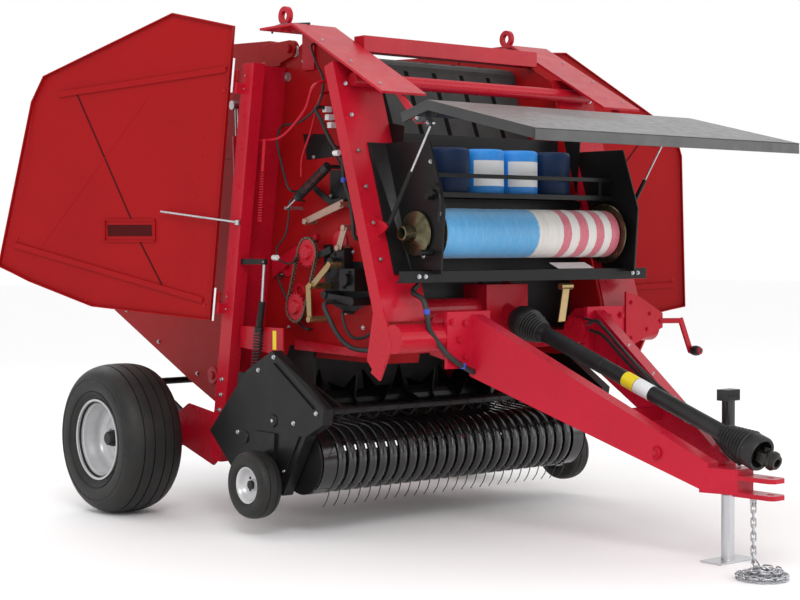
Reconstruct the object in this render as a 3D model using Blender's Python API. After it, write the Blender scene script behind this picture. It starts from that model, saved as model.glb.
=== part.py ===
"""Round baler: a trailed belt baler with a wide pickup, standing on its wheels and jack.

Machine axes while modelling: +X is the baler's left-hand side, +Y its rear, +Z up, with Y = 0 on
the wheel axle and Z = 0 on the ground. Everything hangs from one empty that puts the frame's
origin on the drawbar eye. Lengths are metres, angles degrees. "right" is the baler's own right.
"""

import math

import bmesh
import bpy
from mathutils import Matrix, Vector

# ---------------------------------------------------------------- driving dimensions
GAP = 0.0003  # left between two pieces that touch
RUN = 0.0005  # left between a turning piece and what carries it

CHAMBER_HALF = 0.590  # inner face of the chamber's side sheets
SHEET = 0.012  # side sheet thickness
BODY_HALF = 0.870  # outer face of the hinge posts and front columns
PLATE = 0.012  # folded and bolted plates

AXLE_Z = 0.3935
WHEEL_X = 1.150  # middle of each main tyre
TYRE_R = 0.3935
TYRE_W = 0.343
RIM_R = 0.195
AXLE_BEAM = 0.100  # square section
WHEEL_SIDES = 28  # facets of tyre and rim alike, so that they seat

PIVOT_Y, PIVOT_Z = -0.800, 2.420  # tailgate pivot
SPLIT_TOP = (-0.744, 2.350)  # the leaning line between front frame and tailgate
SPLIT_LEAN = 0.1545  # how far the line runs back for each metre down
SPLIT_GAP = 0.012
POST_DEPTH = 0.100
POST_FACE = 0.070
POST_LOW, POST_HIGH = 0.290, 2.330

SHIELD_T = 0.004
SHIELD_LIP = 0.024
SHIELD_OPEN = {"right": 150.0, "left": 64.0}

PICKUP_Y, PICKUP_Z = -0.700, 0.470  # pickup pivot
REEL_Y, REEL_Z = -1.270, 0.370
BAND_R = 0.160
BAND_T = 0.008
PICKUP_HALF = 0.915  # inner face of the pickup's end housings
PICKUP_END = 0.060  # thickness of those housings
GAUGE_X, GAUGE_Y, GAUGE_Z = 1.062, -1.106, 0.252
GAUGE_R = 0.165
GAUGE_W = 0.122

ROTOR_Y, ROTOR_Z = -0.820, 0.590
ROTOR_R = 0.180

NET_Y, NET_Z = -1.855, 1.470
NET_R = 0.120
NET_HALF = 0.597

HOOD_Y, HOOD_Z = -1.960, 2.000  # hood hinge
HOOD_HALF = 0.885

HITCH_Y = -3.445  # tip of the drawbar jaws
JAW_T = 0.020
JAW_LOW, JAW_HIGH = 0.333, 0.425
PIN_BACK = 0.050  # hitch pin hole behind the tip
PIN_HOLE_R = 0.0165
ORIGIN_BACK = 0.110  # frame origin behind the tip, on the upper jaw
ORIGIN = Vector((0.0, HITCH_Y + ORIGIN_BACK, JAW_HIGH))

PTO_REAR = Vector((0.0, -1.820, 1.060))
PTO_FRONT = Vector((0.0, -3.430, 0.490))

JACK_X, JACK_Y = 0.165, -3.030
JACK_TOP = 0.770

SIDES = {"right": -1.0, "left": 1.0}

RED = ((0.36, 0.010, 0.014), 0.32, 0.0)
BLACK = ((0.012, 0.012, 0.013), 0.45, 0.0)
RUBBER = ((0.016, 0.016, 0.017), 0.80, 0.0)
SILVER = ((0.55, 0.56, 0.58), 0.35, 0.7)
BELT = ((0.020, 0.020, 0.020), 0.85, 0.0)
NET = ((0.12, 0.42, 0.70), 0.70, 0.0)
TWINE = ((0.01, 0.27, 0.66), 0.80, 0.0)
GALVANISED = ((0.50, 0.51, 0.52), 0.45, 0.8)


# ---------------------------------------------------------------- making shapes
def split_y(z):
    """The Y of the line between front frame and tailgate at a height."""
    return SPLIT_TOP[0] + (SPLIT_TOP[1] - z) * SPLIT_LEAN


def material(name, look):
    found = bpy.data.materials.get(name)
    if found:
        return found
    colour, roughness, metallic = look
    made = bpy.data.materials.new(name)
    made.use_nodes = True
    shader = made.node_tree.nodes["Principled BSDF"]
    shader.inputs["Base Color"].default_value = (*colour, 1.0)
    shader.inputs["Roughness"].default_value = roughness
    shader.inputs["Metallic"].default_value = metallic
    return made


def finish(bm):
    bmesh.ops.recalc_face_normals(bm, faces=bm.faces)
    mesh = bpy.data.meshes.new("shape")
    bm.to_mesh(mesh)
    bm.free()
    return mesh


def span(side, near, far):
    """Two distances from the middle as an ordered pair of X values on one side."""
    return tuple(sorted((SIDES[side] * near, SIDES[side] * far)))


def prism(points, low, high):
    """A (y, z) outline drawn out along X."""
    bm = bmesh.new()
    face = bm.faces.new([bm.verts.new((low, y, z)) for y, z in points])
    drawn = bmesh.ops.extrude_face_region(bm, geom=[face])["geom"]
    moved = [v for v in drawn if isinstance(v, bmesh.types.BMVert)]
    bmesh.ops.translate(bm, verts=moved, vec=(high - low, 0, 0))
    return finish(bm)


def box(low, high):
    bm = bmesh.new()
    bmesh.ops.create_cube(bm, size=1.0)
    for v in bm.verts:
        v.co = Vector([(a + b) / 2 + c * (b - a) for a, b, c in zip(low, high, v.co)])
    return finish(bm)


def hull(points):
    """The convex solid round some points."""
    bm = bmesh.new()
    for p in points:
        bm.verts.new(p)
    bmesh.ops.convex_hull(bm, input=bm.verts)
    return finish(bm)


def rod(start, end, radius, sides=16, end_radius=None):
    """A round bar, or a cone, between two points."""
    start, end = Vector(start), Vector(end)
    bm = bmesh.new()
    far = radius if end_radius is None else end_radius
    length = (end - start).length
    turn = Vector((0, 0, 1)).rotation_difference(end - start).to_matrix().to_4x4()
    place = Matrix.Translation((start + end) / 2) @ turn
    bmesh.ops.create_cone(
        bm, cap_ends=True, segments=sides, radius1=radius, radius2=far, depth=length, matrix=place
    )
    return finish(bm)


def bar(start, end, width, height):
    """A square-cut bar between two points: width across, height in its upright plane."""
    start, end = Vector(start), Vector(end)
    along = (end - start).normalized()
    across = along.cross(Vector((0, 0, 1)))
    across = across.normalized() if across.length > 0.01 else Vector((1, 0, 0))
    up = across.cross(along)
    corners = [
        p + across * a * width / 2 + up * b * height / 2
        for p in (start, end)
        for a in (-1, 1)
        for b in (-1, 1)
    ]
    return hull(corners)


def turned(profile, centre, along=(1, 0, 0), sides=32):
    """A closed (distance along, radius) outline spun about a line through centre."""
    bm = bmesh.new()
    verts = [bm.verts.new((r, 0, a)) for a, r in profile]
    edges = [bm.edges.new((verts[i - 1], verts[i])) for i in range(len(verts))]
    bmesh.ops.spin(
        bm, geom=verts + edges, cent=(0, 0, 0), axis=(0, 0, 1), angle=math.tau, steps=sides,
        use_merge=True,
    )
    bmesh.ops.remove_doubles(bm, verts=bm.verts, dist=1e-6)
    turn = Vector((0, 0, 1)).rotation_difference(Vector(along)).to_matrix().to_4x4()
    bmesh.ops.transform(bm, matrix=Matrix.Translation(centre) @ turn, verts=bm.verts)
    return finish(bm)


def turned_solid(profile, centre, along, sides):
    """Like turned, for an outline that starts and ends on the axis."""
    bm = bmesh.new()
    rings = []
    for a, r in profile:
        if r == 0:
            rings.append([bm.verts.new((0, 0, a))])
            continue
        rings.append([bm.verts.new((r * math.cos(math.tau * k / sides), r * math.sin(math.tau * k / sides), a))
                      for k in range(sides)])
    for one, two in zip(rings, rings[1:]):
        for k in range(sides):
            a, b = one[k % len(one)], one[(k + 1) % len(one)]
            c, d = two[(k + 1) % len(two)], two[k % len(two)]
            corners = [v for i, v in enumerate((a, b, c, d)) if v not in (a, b, c, d)[:i]]
            bm.faces.new(corners)
    turn = Vector((0, 0, 1)).rotation_difference(Vector(along)).to_matrix().to_4x4()
    bmesh.ops.transform(bm, matrix=Matrix.Translation(centre) @ turn, verts=bm.verts)
    return finish(bm)


def thread(points, radius, sides=8):
    """A tube along a smooth curve through some points."""
    curve = bpy.data.curves.new("route", "CURVE")
    curve.dimensions = "3D"
    curve.bevel_depth = radius
    curve.bevel_resolution = sides // 2 - 2
    curve.use_fill_caps = True
    spline = curve.splines.new("POLY")
    spline.points.add(len(points) - 1)
    for spot, p in zip(spline.points, points):
        spot.co = (*p, 1.0)
    return curve


def smooth_route(points, pieces):
    """Points along a Catmull-Rom curve through the given ones."""
    p = [Vector(q) for q in points]
    p = [2 * p[0] - p[1]] + p + [2 * p[-1] - p[-2]]
    out = []
    for i in range(1, len(p) - 2):
        for k in range(pieces):
            t = k / pieces
            out.append(
                0.5
                * (
                    2 * p[i]
                    + (p[i + 1] - p[i - 1]) * t
                    + (2 * p[i - 1] - 5 * p[i] + 4 * p[i + 1] - p[i + 2]) * t**2
                    + (3 * p[i] - p[i - 1] - 3 * p[i + 1] + p[i + 2]) * t**3
                )
            )
    out.append(p[-2])
    return out


def arc(centre, radius, start, end, steps):
    """(y, z) points on a circle; angles in degrees from the rear, turning up."""
    turns = [math.radians(start + (end - start) * i / steps) for i in range(steps + 1)]
    return [(centre[0] + radius * math.cos(t), centre[1] + radius * math.sin(t)) for t in turns]


def offset(points, distance, closed=True):
    """A (y, z) outline moved sideways by a distance, to the left of its direction."""
    n = len(points)
    moved = []
    for i, here in enumerate(points):
        here = Vector(here)
        before = Vector(points[i - 1]) if closed or i else None
        after = Vector(points[(i + 1) % n]) if closed or i < n - 1 else None
        ways = [w.normalized() for w in (before and here - before, after and after - here) if w]
        normals = [Vector((-w.y, w.x)) for w in ways]
        middle = sum(normals, Vector((0, 0))).normalized()
        moved.append(tuple(here + middle * distance / middle.dot(normals[0])))
    return moved


def band(points, thickness):
    """The outline of a strip of one thickness along an open (y, z) line, on its left."""
    return list(points) + offset(points, thickness, closed=False)[::-1]


def combine(base, others, operation):
    """One mesh from several with an exact Boolean."""
    if not others:
        return base
    holder = bpy.data.objects.new("work", base)
    bpy.context.collection.objects.link(holder)
    tools = []
    for other in others:
        tool = bpy.data.objects.new("tool", other)
        bpy.context.collection.objects.link(tool)
        change = holder.modifiers.new("join", "BOOLEAN")
        change.operation = operation
        change.object = tool
        tools.append(tool)
    bpy.context.view_layer.update()
    seen = holder.evaluated_get(bpy.context.evaluated_depsgraph_get())
    mesh = bpy.data.meshes.new_from_object(seen)
    for o in [holder, *tools]:
        bpy.data.objects.remove(o)
    return mesh


def node(name, look, shapes, cuts=(), pivot=(0, 0, 0), smooth=False):
    """One named sub-part: its shapes joined, its cuts taken out, its origin on its pivot."""
    data = shapes[0]
    if isinstance(data, bpy.types.Mesh):
        data = combine(combine(data, shapes[1:], "UNION"), list(cuts), "DIFFERENCE")
        data.transform(Matrix.Translation(-Vector(pivot)))
        if smooth:
            data.shade_smooth()
            data.set_sharp_from_angle(angle=math.radians(35))
    data.name = name
    data.materials.clear()
    data.materials.append(material(look[0], look[1]))
    made = bpy.data.objects.new(name, data)
    made.location = pivot
    made.parent = ROOT
    bpy.context.collection.objects.link(made)
    return made


PAINT = ("red_paint", RED)
DARK = ("black_paint", BLACK)
TYRE = ("tyre_rubber", RUBBER)
RIM = ("rim_silver", SILVER)
WEB = ("belt_rubber", BELT)
STEEL = ("galvanised", GALVANISED)


def clear_scene():
    for o in list(bpy.data.objects):
        bpy.data.objects.remove(o)


# ---------------------------------------------------------------- front frame
SHEET_OUT = CHAMBER_HALF + SHEET  # outer face of the side sheets
COLUMN_LINE = [(-1.486, 2.285), (-1.527, 2.155), (-1.852, 1.126)]  # front face, top to bottom
CROSS_Y, CROSS_Z, CROSS_R = -1.930, 0.985, 0.0675
COVER_LINE = [(-1.850, 2.110), (-1.160, 2.485)]


def column_y(z):
    """The Y of the front column's face at a height."""
    (y1, z1), (y2, z2) = COLUMN_LINE[1:]
    return y1 + (z - z1) * (y2 - y1) / (z2 - z1)


def side_sheets():
    """The chamber's front side sheets, from the top corner down to the axle."""
    eye = arc((PIVOT_Y, PIVOT_Z), 0.045, 0, 180, 8)
    low = [
        (split_y(0.615), 0.615), (-0.140, 0.500), (AXLE_BEAM, 0.490),
        (AXLE_BEAM, AXLE_Z + AXLE_BEAM / 2 + GAP), (-AXLE_BEAM, AXLE_Z + AXLE_BEAM / 2 + GAP),
        (-0.160, 0.300), (-0.430, 0.270), (-0.620, 0.600), (-0.793, 0.847), (-1.513, 0.838),
        (-1.780, 0.860), (-1.835, 1.050),
    ]
    back = [(split_y(2.36), 2.36)]
    front = [(column_y(1.126) + 0.02, 1.126), (column_y(2.155) + 0.02, 2.155), (-1.470, 2.280),
             (-1.160, 2.450), (-0.900, 2.450)]
    outline = back + low + front + eye[::-1]
    for side in SIDES:
        boss = rod(
            (SIDES[side] * (SHEET_OUT - 0.002), PIVOT_Y, PIVOT_Z),
            (SIDES[side] * (SHEET_OUT + 0.040), PIVOT_Y, PIVOT_Z), 0.022,
        )
        node(f"side_sheet_{side}", PAINT, [prism(outline, *span(side, CHAMBER_HALF, SHEET_OUT)), boss])


def hinge_posts():
    """The leaning channel each side shield and the tailgate cylinder hang from."""
    for side in SIDES:
        face = [(split_y(z) - d, z) for z, d in
                ((POST_LOW, 0), (POST_HIGH, 0), (POST_HIGH, POST_DEPTH), (POST_LOW, POST_DEPTH))]
        web = [(split_y(z) - d, z) for z, d in
               ((POST_LOW, 0), (POST_HIGH, 0), (POST_HIGH, PLATE), (POST_LOW, PLATE))]
        carrier = [(-0.760, 0.420), (-0.760, 0.520), (split_y(0.60) - 0.02, 0.600),
                   (split_y(0.38) - 0.02, 0.380)]
        lug = [(split_y(1.56) - 0.006, 1.560), (split_y(1.44) - 0.006, 1.440),
               (CYL_Y + 0.035, CYL_Z - 0.035), (CYL_Y + 0.035, CYL_Z + 0.035)]
        lug_x = CYL_X - CYL_R - 0.006
        node(
            f"hinge_post_{side}", PAINT,
            [
                prism(face, *span(side, BODY_HALF - POST_FACE, BODY_HALF)),
                prism(web, *span(side, SHEET_OUT + GAP, BODY_HALF - 0.01)),
                prism(carrier, *span(side, 0.810, 0.822)),
                rod((SIDES[side] * (SHEET_OUT + PLATE + GAP), PICKUP_Y, PICKUP_Z),
                    (SIDES[side] * (PICKUP_HALF - RUN), PICKUP_Y, PICKUP_Z), 0.035),
                prism(lug, *span(side, lug_x - PLATE, lug_x)),
                *knuckles(side, "post"),
            ],
        )


def front_columns():
    """The sloping front channels, each with its edge folded back along the outer side."""
    face = COLUMN_LINE + [(-1.862, CROSS_Z + CROSS_R + 0.010)]
    edge = COLUMN_LINE + [(-1.925, 0.960), (-1.830, 0.790)]
    for side in SIDES:
        cheek = [(-1.925, 0.960), (-1.830, 0.790), (-1.740, 0.880), (-1.790, 1.120), (-1.852, 1.126)]
        s = SIDES[side]
        tube = rod((s * 0.300, CROSS_Y, CROSS_Z), (s * (BODY_HALF - 0.001), CROSS_Y, CROSS_Z), CROSS_R, 24)
        lug = [(column_y(1.55) + 0.006, 1.550), (column_y(1.45) + 0.006, 1.450), (STRUT_Y, STRUT_Z - 0.018),
               (STRUT_Y - 0.018, STRUT_Z), (STRUT_Y, STRUT_Z + 0.018)]
        node(
            f"front_column_{side}", PAINT,
            [
                prism(band(face, PLATE), *span(side, SHEET_OUT + GAP, BODY_HALF)),
                prism(band(edge, 0.070), *span(side, BODY_HALF - PLATE, BODY_HALF)),
                prism(cheek, *span(side, BODY_HALF - PLATE, BODY_HALF)),
                tube,
                prism(lug, *span(side, STRUT_X + 0.011 + RUN, STRUT_X + 0.021)),
            ],
        )


def shoulder_covers():
    """The sloping top covers, with the lifting eyes and the hood's hinge ears."""
    for side in SIDES:
        s = SIDES[side]
        flat = [(-0.890, 2.485)]
        line = COVER_LINE + flat
        eye = turned([(-0.012, 0.024), (0.012, 0.024), (0.012, 0.048), (-0.012, 0.048)],
                     (s * 0.760, -0.960, 2.560), sides=20)
        foot = box((min(s * 0.748, s * 0.772), -0.990, 2.480), (max(s * 0.748, s * 0.772), -0.930, 2.522))
        ear = [(-1.800, 2.143), (HOOD_Y - 0.030, HOOD_Z - 0.030), (HOOD_Y + 0.030, HOOD_Z - 0.030),
               (-1.720, 2.186)]
        leg = [(-1.000, 2.490), (-0.900, 2.490), (-0.900, 2.300), (-1.000, 2.300)]
        node(
            f"shoulder_cover_{side}", PAINT,
            [
                prism(band(line, PLATE), *span(side, SHEET_OUT + GAP, BODY_HALF)),
                prism(leg, *span(side, SHEET_OUT + GAP, SHEET_OUT + PLATE)),
                prism(ear, *span(side, 0.720, 0.732)),
                eye, foot,
            ],
        )


def cross_members():
    """What ties the two sides together at the front."""
    inner = CHAMBER_HALF - GAP
    node("top_beam", PAINT, [box((-inner, -1.375, 2.360), (inner, -1.295, 2.440))])
    tube_r, tube_z = 0.0325, 2.200
    tube_y = column_y(tube_z) - tube_r * math.hypot(1, 0.316) - RUN
    node("front_tube", PAINT, [rod((-0.800, tube_y, tube_z), (0.800, tube_y, tube_z), tube_r, 20)])
    way = (PTO_FRONT - PTO_REAR).normalized()
    node(
        "gearbox", PAINT,
        [
            box((-inner, -1.760, 0.900), (inner, -1.600, 0.980)),
            box((-0.140, -1.770, 0.970), (0.140, -1.590, 1.220)),
            rod((-inner, -1.680, 1.100), (0, -1.680, 1.100), 0.055, 20),
            rod(PTO_REAR - way * 0.100, PTO_REAR, 0.045, 20),
        ],
    )


def axle():
    """The square axle beam with its stub ends and the brackets that carry the frame."""
    half = AXLE_BEAM / 2
    shapes = [box((-0.930, -half, AXLE_Z - half), (0.930, half, AXLE_Z + half))]
    for side in SIDES:
        s = SIDES[side]
        shapes.append(rod((s * 0.92, 0, AXLE_Z), (s * (WHEEL_X - 0.035 - RUN), 0, AXLE_Z), 0.032, 20))
        shapes.append(rod((s * 0.925, 0, AXLE_Z), (s * 0.945, 0, AXLE_Z), 0.060, 20))
        bracket = [(-0.130, 0.564), (0.060, 0.460), (0.060, 0.340), (-0.090, 0.330), (-0.367, 0.252),
                   (split_y(0.30) + GAP, 0.300), (split_y(0.52) + GAP, 0.520)]
        shapes.append(prism(bracket, *span(side, 0.800, 0.812)))
        lug = [(0.020, 0.400), (0.100, 0.440), (0.105, 0.490), (0.060, 0.500), (0.020, 0.460)]
        shapes.append(prism(lug, *span(side, 0.730 + RUN, 0.743)))
    node("axle", PAINT, shapes)


def front_belts():
    """Rollers between the side sheets and the six belts that run round them at the front."""
    inner = CHAMBER_HALF - RUN
    rollers = [((-1.150, 2.300), 0.060), ((-1.480, 1.500), 0.050), ((-0.760, 1.000), 0.075)]
    shapes = [rod((-inner, y, z), (inner, y, z), r, 12) for (y, z), r in rollers]
    (top, top_r), (mid, mid_r), (low, low_r) = rollers
    line = [(-0.930, top[1] + top_r + 0.003), (top[0], top[1] + top_r + 0.003),
            (top[0] - top_r - 0.003, top[1]), (mid[0] - mid_r - 0.003, mid[1]),
            (mid[0], mid[1] - mid_r - 0.003), (low[0], low[1] - low_r - 0.003)]
    width, pitch = 0.160, 0.190
    for i in range(6):
        x = (i - 2.5) * pitch
        shapes.append(prism(band(line, 0.008), x - width / 2, x + width / 2))
    node("front_belts", WEB, shapes)


# ---------------------------------------------------------------- feed throat
def feed_throat():
    """Side plates outside the sheets and the curved floor under the rotor, in one piece."""
    outline = [(-0.990, 0.900), (-0.790, 0.900), (-0.640, 0.640), (-0.560, 0.560), (-0.640, 0.380),
               (-0.940, 0.400), (-0.990, 0.560)]
    shapes = [prism(outline, *span(side, SHEET_OUT + GAP, SHEET_OUT + PLATE)) for side in SIDES]
    floor = arc((ROTOR_Y, ROTOR_Z), ROTOR_R + 0.030, 222, 320, 8)
    reach = SHEET_OUT + PLATE
    shapes.append(prism(band(floor, 0.008)[::-1], -reach + 0.001, reach - 0.001))
    node("feed_throat", DARK, shapes)
    teeth = []
    for i in range(6):
        x = (i - 2.5) * 0.180
        lean = math.radians(30 * i)
        tip = [(ROTOR_Y + ROTOR_R * math.cos(lean + k * math.pi / 2),
                ROTOR_Z + ROTOR_R * math.sin(lean + k * math.pi / 2)) for k in range(4)]
        root = [(ROTOR_Y + 0.075 * math.cos(lean + (k + 0.5) * math.pi / 2),
                 ROTOR_Z + 0.075 * math.sin(lean + (k + 0.5) * math.pi / 2)) for k in range(4)]
        star = [p for pair in zip(tip, root) for p in pair]
        teeth.append(prism(star, x - 0.006, x + 0.006))
    shaft = rod((-SHEET_OUT + RUN, ROTOR_Y, ROTOR_Z), (SHEET_OUT - RUN, ROTOR_Y, ROTOR_Z), 0.060, 16)
    node("feed_rotor", PAINT, [shaft, *teeth], pivot=(0, ROTOR_Y, ROTOR_Z))


# ---------------------------------------------------------------- drawbar
BEAM_REAR = (0.420, -1.990)
BEAM_FRONT = (0.060, -3.130)
BEAM_W = 0.070


def drawbar():
    """Two converging beams on bolted flanges, ending in the jaws of the hitch."""
    shapes = []
    for side in SIDES:
        s = SIDES[side]
        corners = []
        for (x, y), low, high in ((BEAM_REAR, 0.800, 1.095), (BEAM_FRONT, 0.340, 0.470)):
            for across in (-BEAM_W / 2, BEAM_W / 2):
                corners += [(s * (x + across), y, low), (s * (x + across), y, high)]
        shapes.append(hull(corners))
        shapes.append(box((min(s * 0.33, s * 0.60), -1.9995, 0.840), (max(s * 0.33, s * 0.60), -1.9785, 1.105)))
        saddle = [(-1.985, 0.870), (-1.985, 1.095), (-1.900, 1.095), (-1.840, 1.050), (-1.840, 0.900)]
        shapes.append(prism(saddle, *span(side, 0.350, 0.362)))
        shapes.append(prism(saddle, *span(side, 0.560, 0.572)))
    nose = [(-0.105, -3.090), (-0.055, -3.260), (0.055, -3.260), (0.105, -3.090)]
    shapes.append(hull([(x, y, z) for x, y in nose for z in (0.340, 0.450)]))
    brace = [(-2.620, 0.600), (-2.620, 0.660), (-2.560, 0.660), (-2.560, 0.600)]
    shapes.append(prism(brace, -0.240, 0.240))
    tip = [(-0.055, -3.230), (-0.050, HITCH_Y + 0.020), (-0.030, HITCH_Y), (0.030, HITCH_Y),
           (0.050, HITCH_Y + 0.020), (0.055, -3.230)]
    for low in (JAW_LOW, JAW_HIGH - JAW_T):
        shapes.append(hull([(x, y, z) for x, y in tip for z in (low, low + JAW_T)]))
    hole = rod((0, HITCH_Y + PIN_BACK, 0.2), (0, HITCH_Y + PIN_BACK, 0.6), PIN_HOLE_R, 20)
    tubes = [rod((x0, CROSS_Y, CROSS_Z), (x1, CROSS_Y, CROSS_Z), CROSS_R + GAP, 24)
             for x0, x1 in ((-0.7, -0.2), (0.2, 0.7))]
    node("drawbar", PAINT, shapes, [hole, *tubes])


def pto():
    """The drive shaft inside its fixed guard: bell at the gearbox, cone at the tractor end."""
    way = (PTO_FRONT - PTO_REAR).normalized()
    total = (PTO_FRONT - PTO_REAR).length
    core = 0.0200
    bell, cone = 0.190, 0.200
    tube_r, wall = 0.036, 0.004
    start, end = 0.030, total - 0.090
    outer = [(start, 0.070), (start + 0.06, 0.082), (start + bell, tube_r), (end - cone, tube_r),
             (end - 0.05, 0.078), (end, 0.070)]
    inner = [(end, 0.062), (end - 0.05, 0.070), (end - cone, tube_r - wall),
             (end - cone - 0.02, core + RUN), (start + bell + 0.02, core + RUN),
             (start + bell, tube_r - wall), (start + 0.06, 0.074), (start, 0.062)]
    node("pto_guard", DARK, [turned(outer + inner, PTO_REAR, way, 16)], smooth=True)
    yoke = [(RUN, 0), (RUN, 0.045), (0.055, 0.045), (0.075, core), (total - 0.120, core),
            (total - 0.100, 0.040), (total, 0.040), (total, 0)]
    node("pto_shaft", ("bare_steel", GALVANISED), [turned_solid(yoke, PTO_REAR, way, 20)], pivot=PTO_REAR)


def jack():
    """The parking jack on the drawbar's left side: a fixed sleeve and the leg that slides in it."""
    sleeve_r, leg_r = 0.036, 0.0295
    sleeve = turned([(0.330, leg_r + RUN), (0.330, sleeve_r), (0.560, sleeve_r), (0.560, leg_r + RUN)],
                    (JACK_X, JACK_Y, 0), (0, 0, 1), 20)
    arm = box((0.080, JACK_Y - 0.045, 0.400), (JACK_X - sleeve_r + 0.002, JACK_Y + 0.045, 0.470))
    bore = rod((JACK_X, JACK_Y, 0.2), (JACK_X, JACK_Y, 0.7), leg_r + RUN, 20)
    beam_side = hull([(s[0], s[1], z) for s in
                      ((BEAM_REAR[0] + BEAM_W / 2 + GAP, BEAM_REAR[1]), (BEAM_FRONT[0] + BEAM_W / 2 + GAP, BEAM_FRONT[1]),
                       (-1.0, BEAM_REAR[1]), (-1.0, BEAM_FRONT[1])) for z in (0.2, 0.9)])
    node("jack_sleeve", PAINT, [sleeve, arm], [beam_side])
    leg = rod((JACK_X, JACK_Y, 0.004), (JACK_X, JACK_Y, JACK_TOP - 0.02), leg_r, 20)
    foot = box((JACK_X - 0.120, JACK_Y - 0.060, 0), (JACK_X + 0.120, JACK_Y + 0.060, 0.008))
    head = box((JACK_X - 0.045, JACK_Y - 0.030, JACK_TOP - 0.050), (JACK_X + 0.045, JACK_Y + 0.030, JACK_TOP))
    node("jack_leg", STEEL, [leg, foot, head], pivot=(JACK_X, JACK_Y, 0))


HOSE_R = 0.009
HOSE_ROUTE = [(0.300, -2.030, 1.020), (0.310, -2.080, 1.040), (0.270, -2.180, 1.000), (0.235, -2.340, 0.900),
              (0.190, -2.540, 0.790), (0.140, -2.760, 0.690), (0.095, -2.960, 0.600), (0.066, -3.100, 0.500),
              (0.050, -3.190, 0.4586)]
CHAIN_TOP = (-0.020, -3.320, JAW_LOW - GAP)  # where the safety chain leaves the hitch
CHAIN_R = 0.014
PILE_R, PILE_H = 0.135, 0.045
PILE_AT = (-0.054, -3.404)
CHAIN_ROUTE = [CHAIN_TOP, (-0.020, -3.320, 0.290), (-0.021, -3.321, 0.200), (-0.022, -3.322, 0.110),
               (-0.022, -3.322, PILE_H + GAP)]


def hose():
    """The hydraulic hose clipped along the left beam of the drawbar."""
    node("hydraulic_hose", ("hose_rubber", RUBBER), [thread(smooth_route(HOSE_ROUTE, 6), HOSE_R)])


def safety_chain():
    """The chain hanging from the hitch and the pile it makes on the ground."""
    node("safety_chain", STEEL, [thread(smooth_route(CHAIN_ROUTE, 4), CHAIN_R)])
    ring = [(0.001, 0.030), (0.001, PILE_R - 0.015), (0.020, PILE_R), (PILE_H, PILE_R - 0.030), (PILE_H, 0.030)]
    node("safety_chain_pile", STEEL, [turned(ring, (*PILE_AT, 0), (0, 0, 1), 20)])


# ---------------------------------------------------------------- net and twine
def net_box():
    """The net roll in its side plates, the tray under it and the twine shelf behind."""
    tray = [(-1.960, 1.240), (-1.960, 1.295), (-1.900, 1.295), (-1.900, 1.252), (-1.870, 1.240)]
    reach = 0.810
    holder = [prism(tray, -reach, reach)]
    for side in SIDES:
        front = [(-2.020, 1.280), (-2.045, 1.600), (-1.940, 1.900)]
        back = [(column_y(z) - GAP - 0.0001, z) for z in (1.900, 1.280)]
        plate_in = NET_HALF + 0.050
        lip = [(column_y(1.9) - GAP - 0.0001, 1.9), (column_y(1.9) - 0.012, 1.9),
               (column_y(1.280) - 0.012, 1.280), (column_y(1.280) - GAP - 0.0001, 1.280)]
        holder.append(prism(front + back, *span(side, plate_in, plate_in + 0.010)))
        holder.append(prism(lip, *span(side, plate_in + 0.001, 0.760)))
    node("net_holder", DARK, holder)
    core = NET_HALF + 0.0495
    roll = [(-core, 0), (-core, 0.030), (-NET_HALF, 0.030), (-NET_HALF, NET_R), (NET_HALF, NET_R),
            (NET_HALF, 0.030), (core, 0.030), (core, 0)]
    node("net_roll", ("net_wrap", NET), [turned_solid(roll, (0, NET_Y, NET_Z), (1, 0, 0), 24)],
         pivot=(0, NET_Y, NET_Z), smooth=True)
    inner = CHAMBER_HALF - GAP
    shelf = [box((-inner, -1.850, 1.645), (inner, -1.520, 1.657)),
             box((-inner, -1.532, 1.650), (inner, -1.520, 1.960))]
    rail_half = NET_HALF + 0.050 - GAP
    shelf.append(box((-rail_half, -1.870, 1.640), (rail_half, -1.850 + 0.001, 1.665)))
    for x in (-0.560, 0.560):
        shelf.append(box((x - 0.010, -1.868, 1.650), (x + 0.010, -1.848, 1.750)))
    shelf.append(box((-rail_half, -1.870, 1.735), (rail_half, -1.850, 1.755)))
    node("twine_shelf", DARK, shelf)
    ball_r, ball_h = 0.116, 0.225
    foot = 1.657 + GAP
    balls = []
    for i in range(4):
        ring = [(0, 0), (0, ball_r - 0.012), (0.014, ball_r), (ball_h - 0.014, ball_r),
                (ball_h, ball_r - 0.012), (ball_h, 0)]
        balls.append(turned_solid(ring, (-0.345 + 0.230 * i, -1.700, foot), (0, 0, 1), 14))
    node("twine_balls", ("twine_blue", TWINE), balls, smooth=True)


# ---------------------------------------------------------------- side fittings
CHAIN_X = 0.680


def chain_drive():
    """Two sprockets and their chain, standing off the right side sheet."""
    s = SIDES["right"]
    spots = [(-1.030, 1.377), (-0.930, 1.100)]
    shapes = []
    for y, z in spots:
        shapes.append(rod((s * (SHEET_OUT + GAP), y, z), (s * (CHAIN_X + 0.020), y, z), 0.022, 10))
        shapes.append(rod((s * (CHAIN_X - 0.005), y, z), (s * (CHAIN_X + 0.005), y, z), 0.072, 16))
    (y1, z1), (y2, z2) = spots
    lean = math.degrees(math.atan2(z1 - z2, y1 - y2))
    loop = arc((y1, z1), 0.082, lean - 90, lean + 90, 7) + arc((y2, z2), 0.082, lean + 90, lean + 270, 7)
    hollow = arc((y1, z1), 0.066, lean - 90, lean + 90, 7) + arc((y2, z2), 0.066, lean + 90, lean + 270, 7)
    ring = combine(prism(loop, *span("right", CHAIN_X - 0.010, CHAIN_X + 0.010)),
                   [prism(hollow, *span("right", CHAIN_X - 0.020, CHAIN_X + 0.020))], "DIFFERENCE")
    node("chain_drive", ("bare_steel", GALVANISED), [ring, *shapes])


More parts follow.
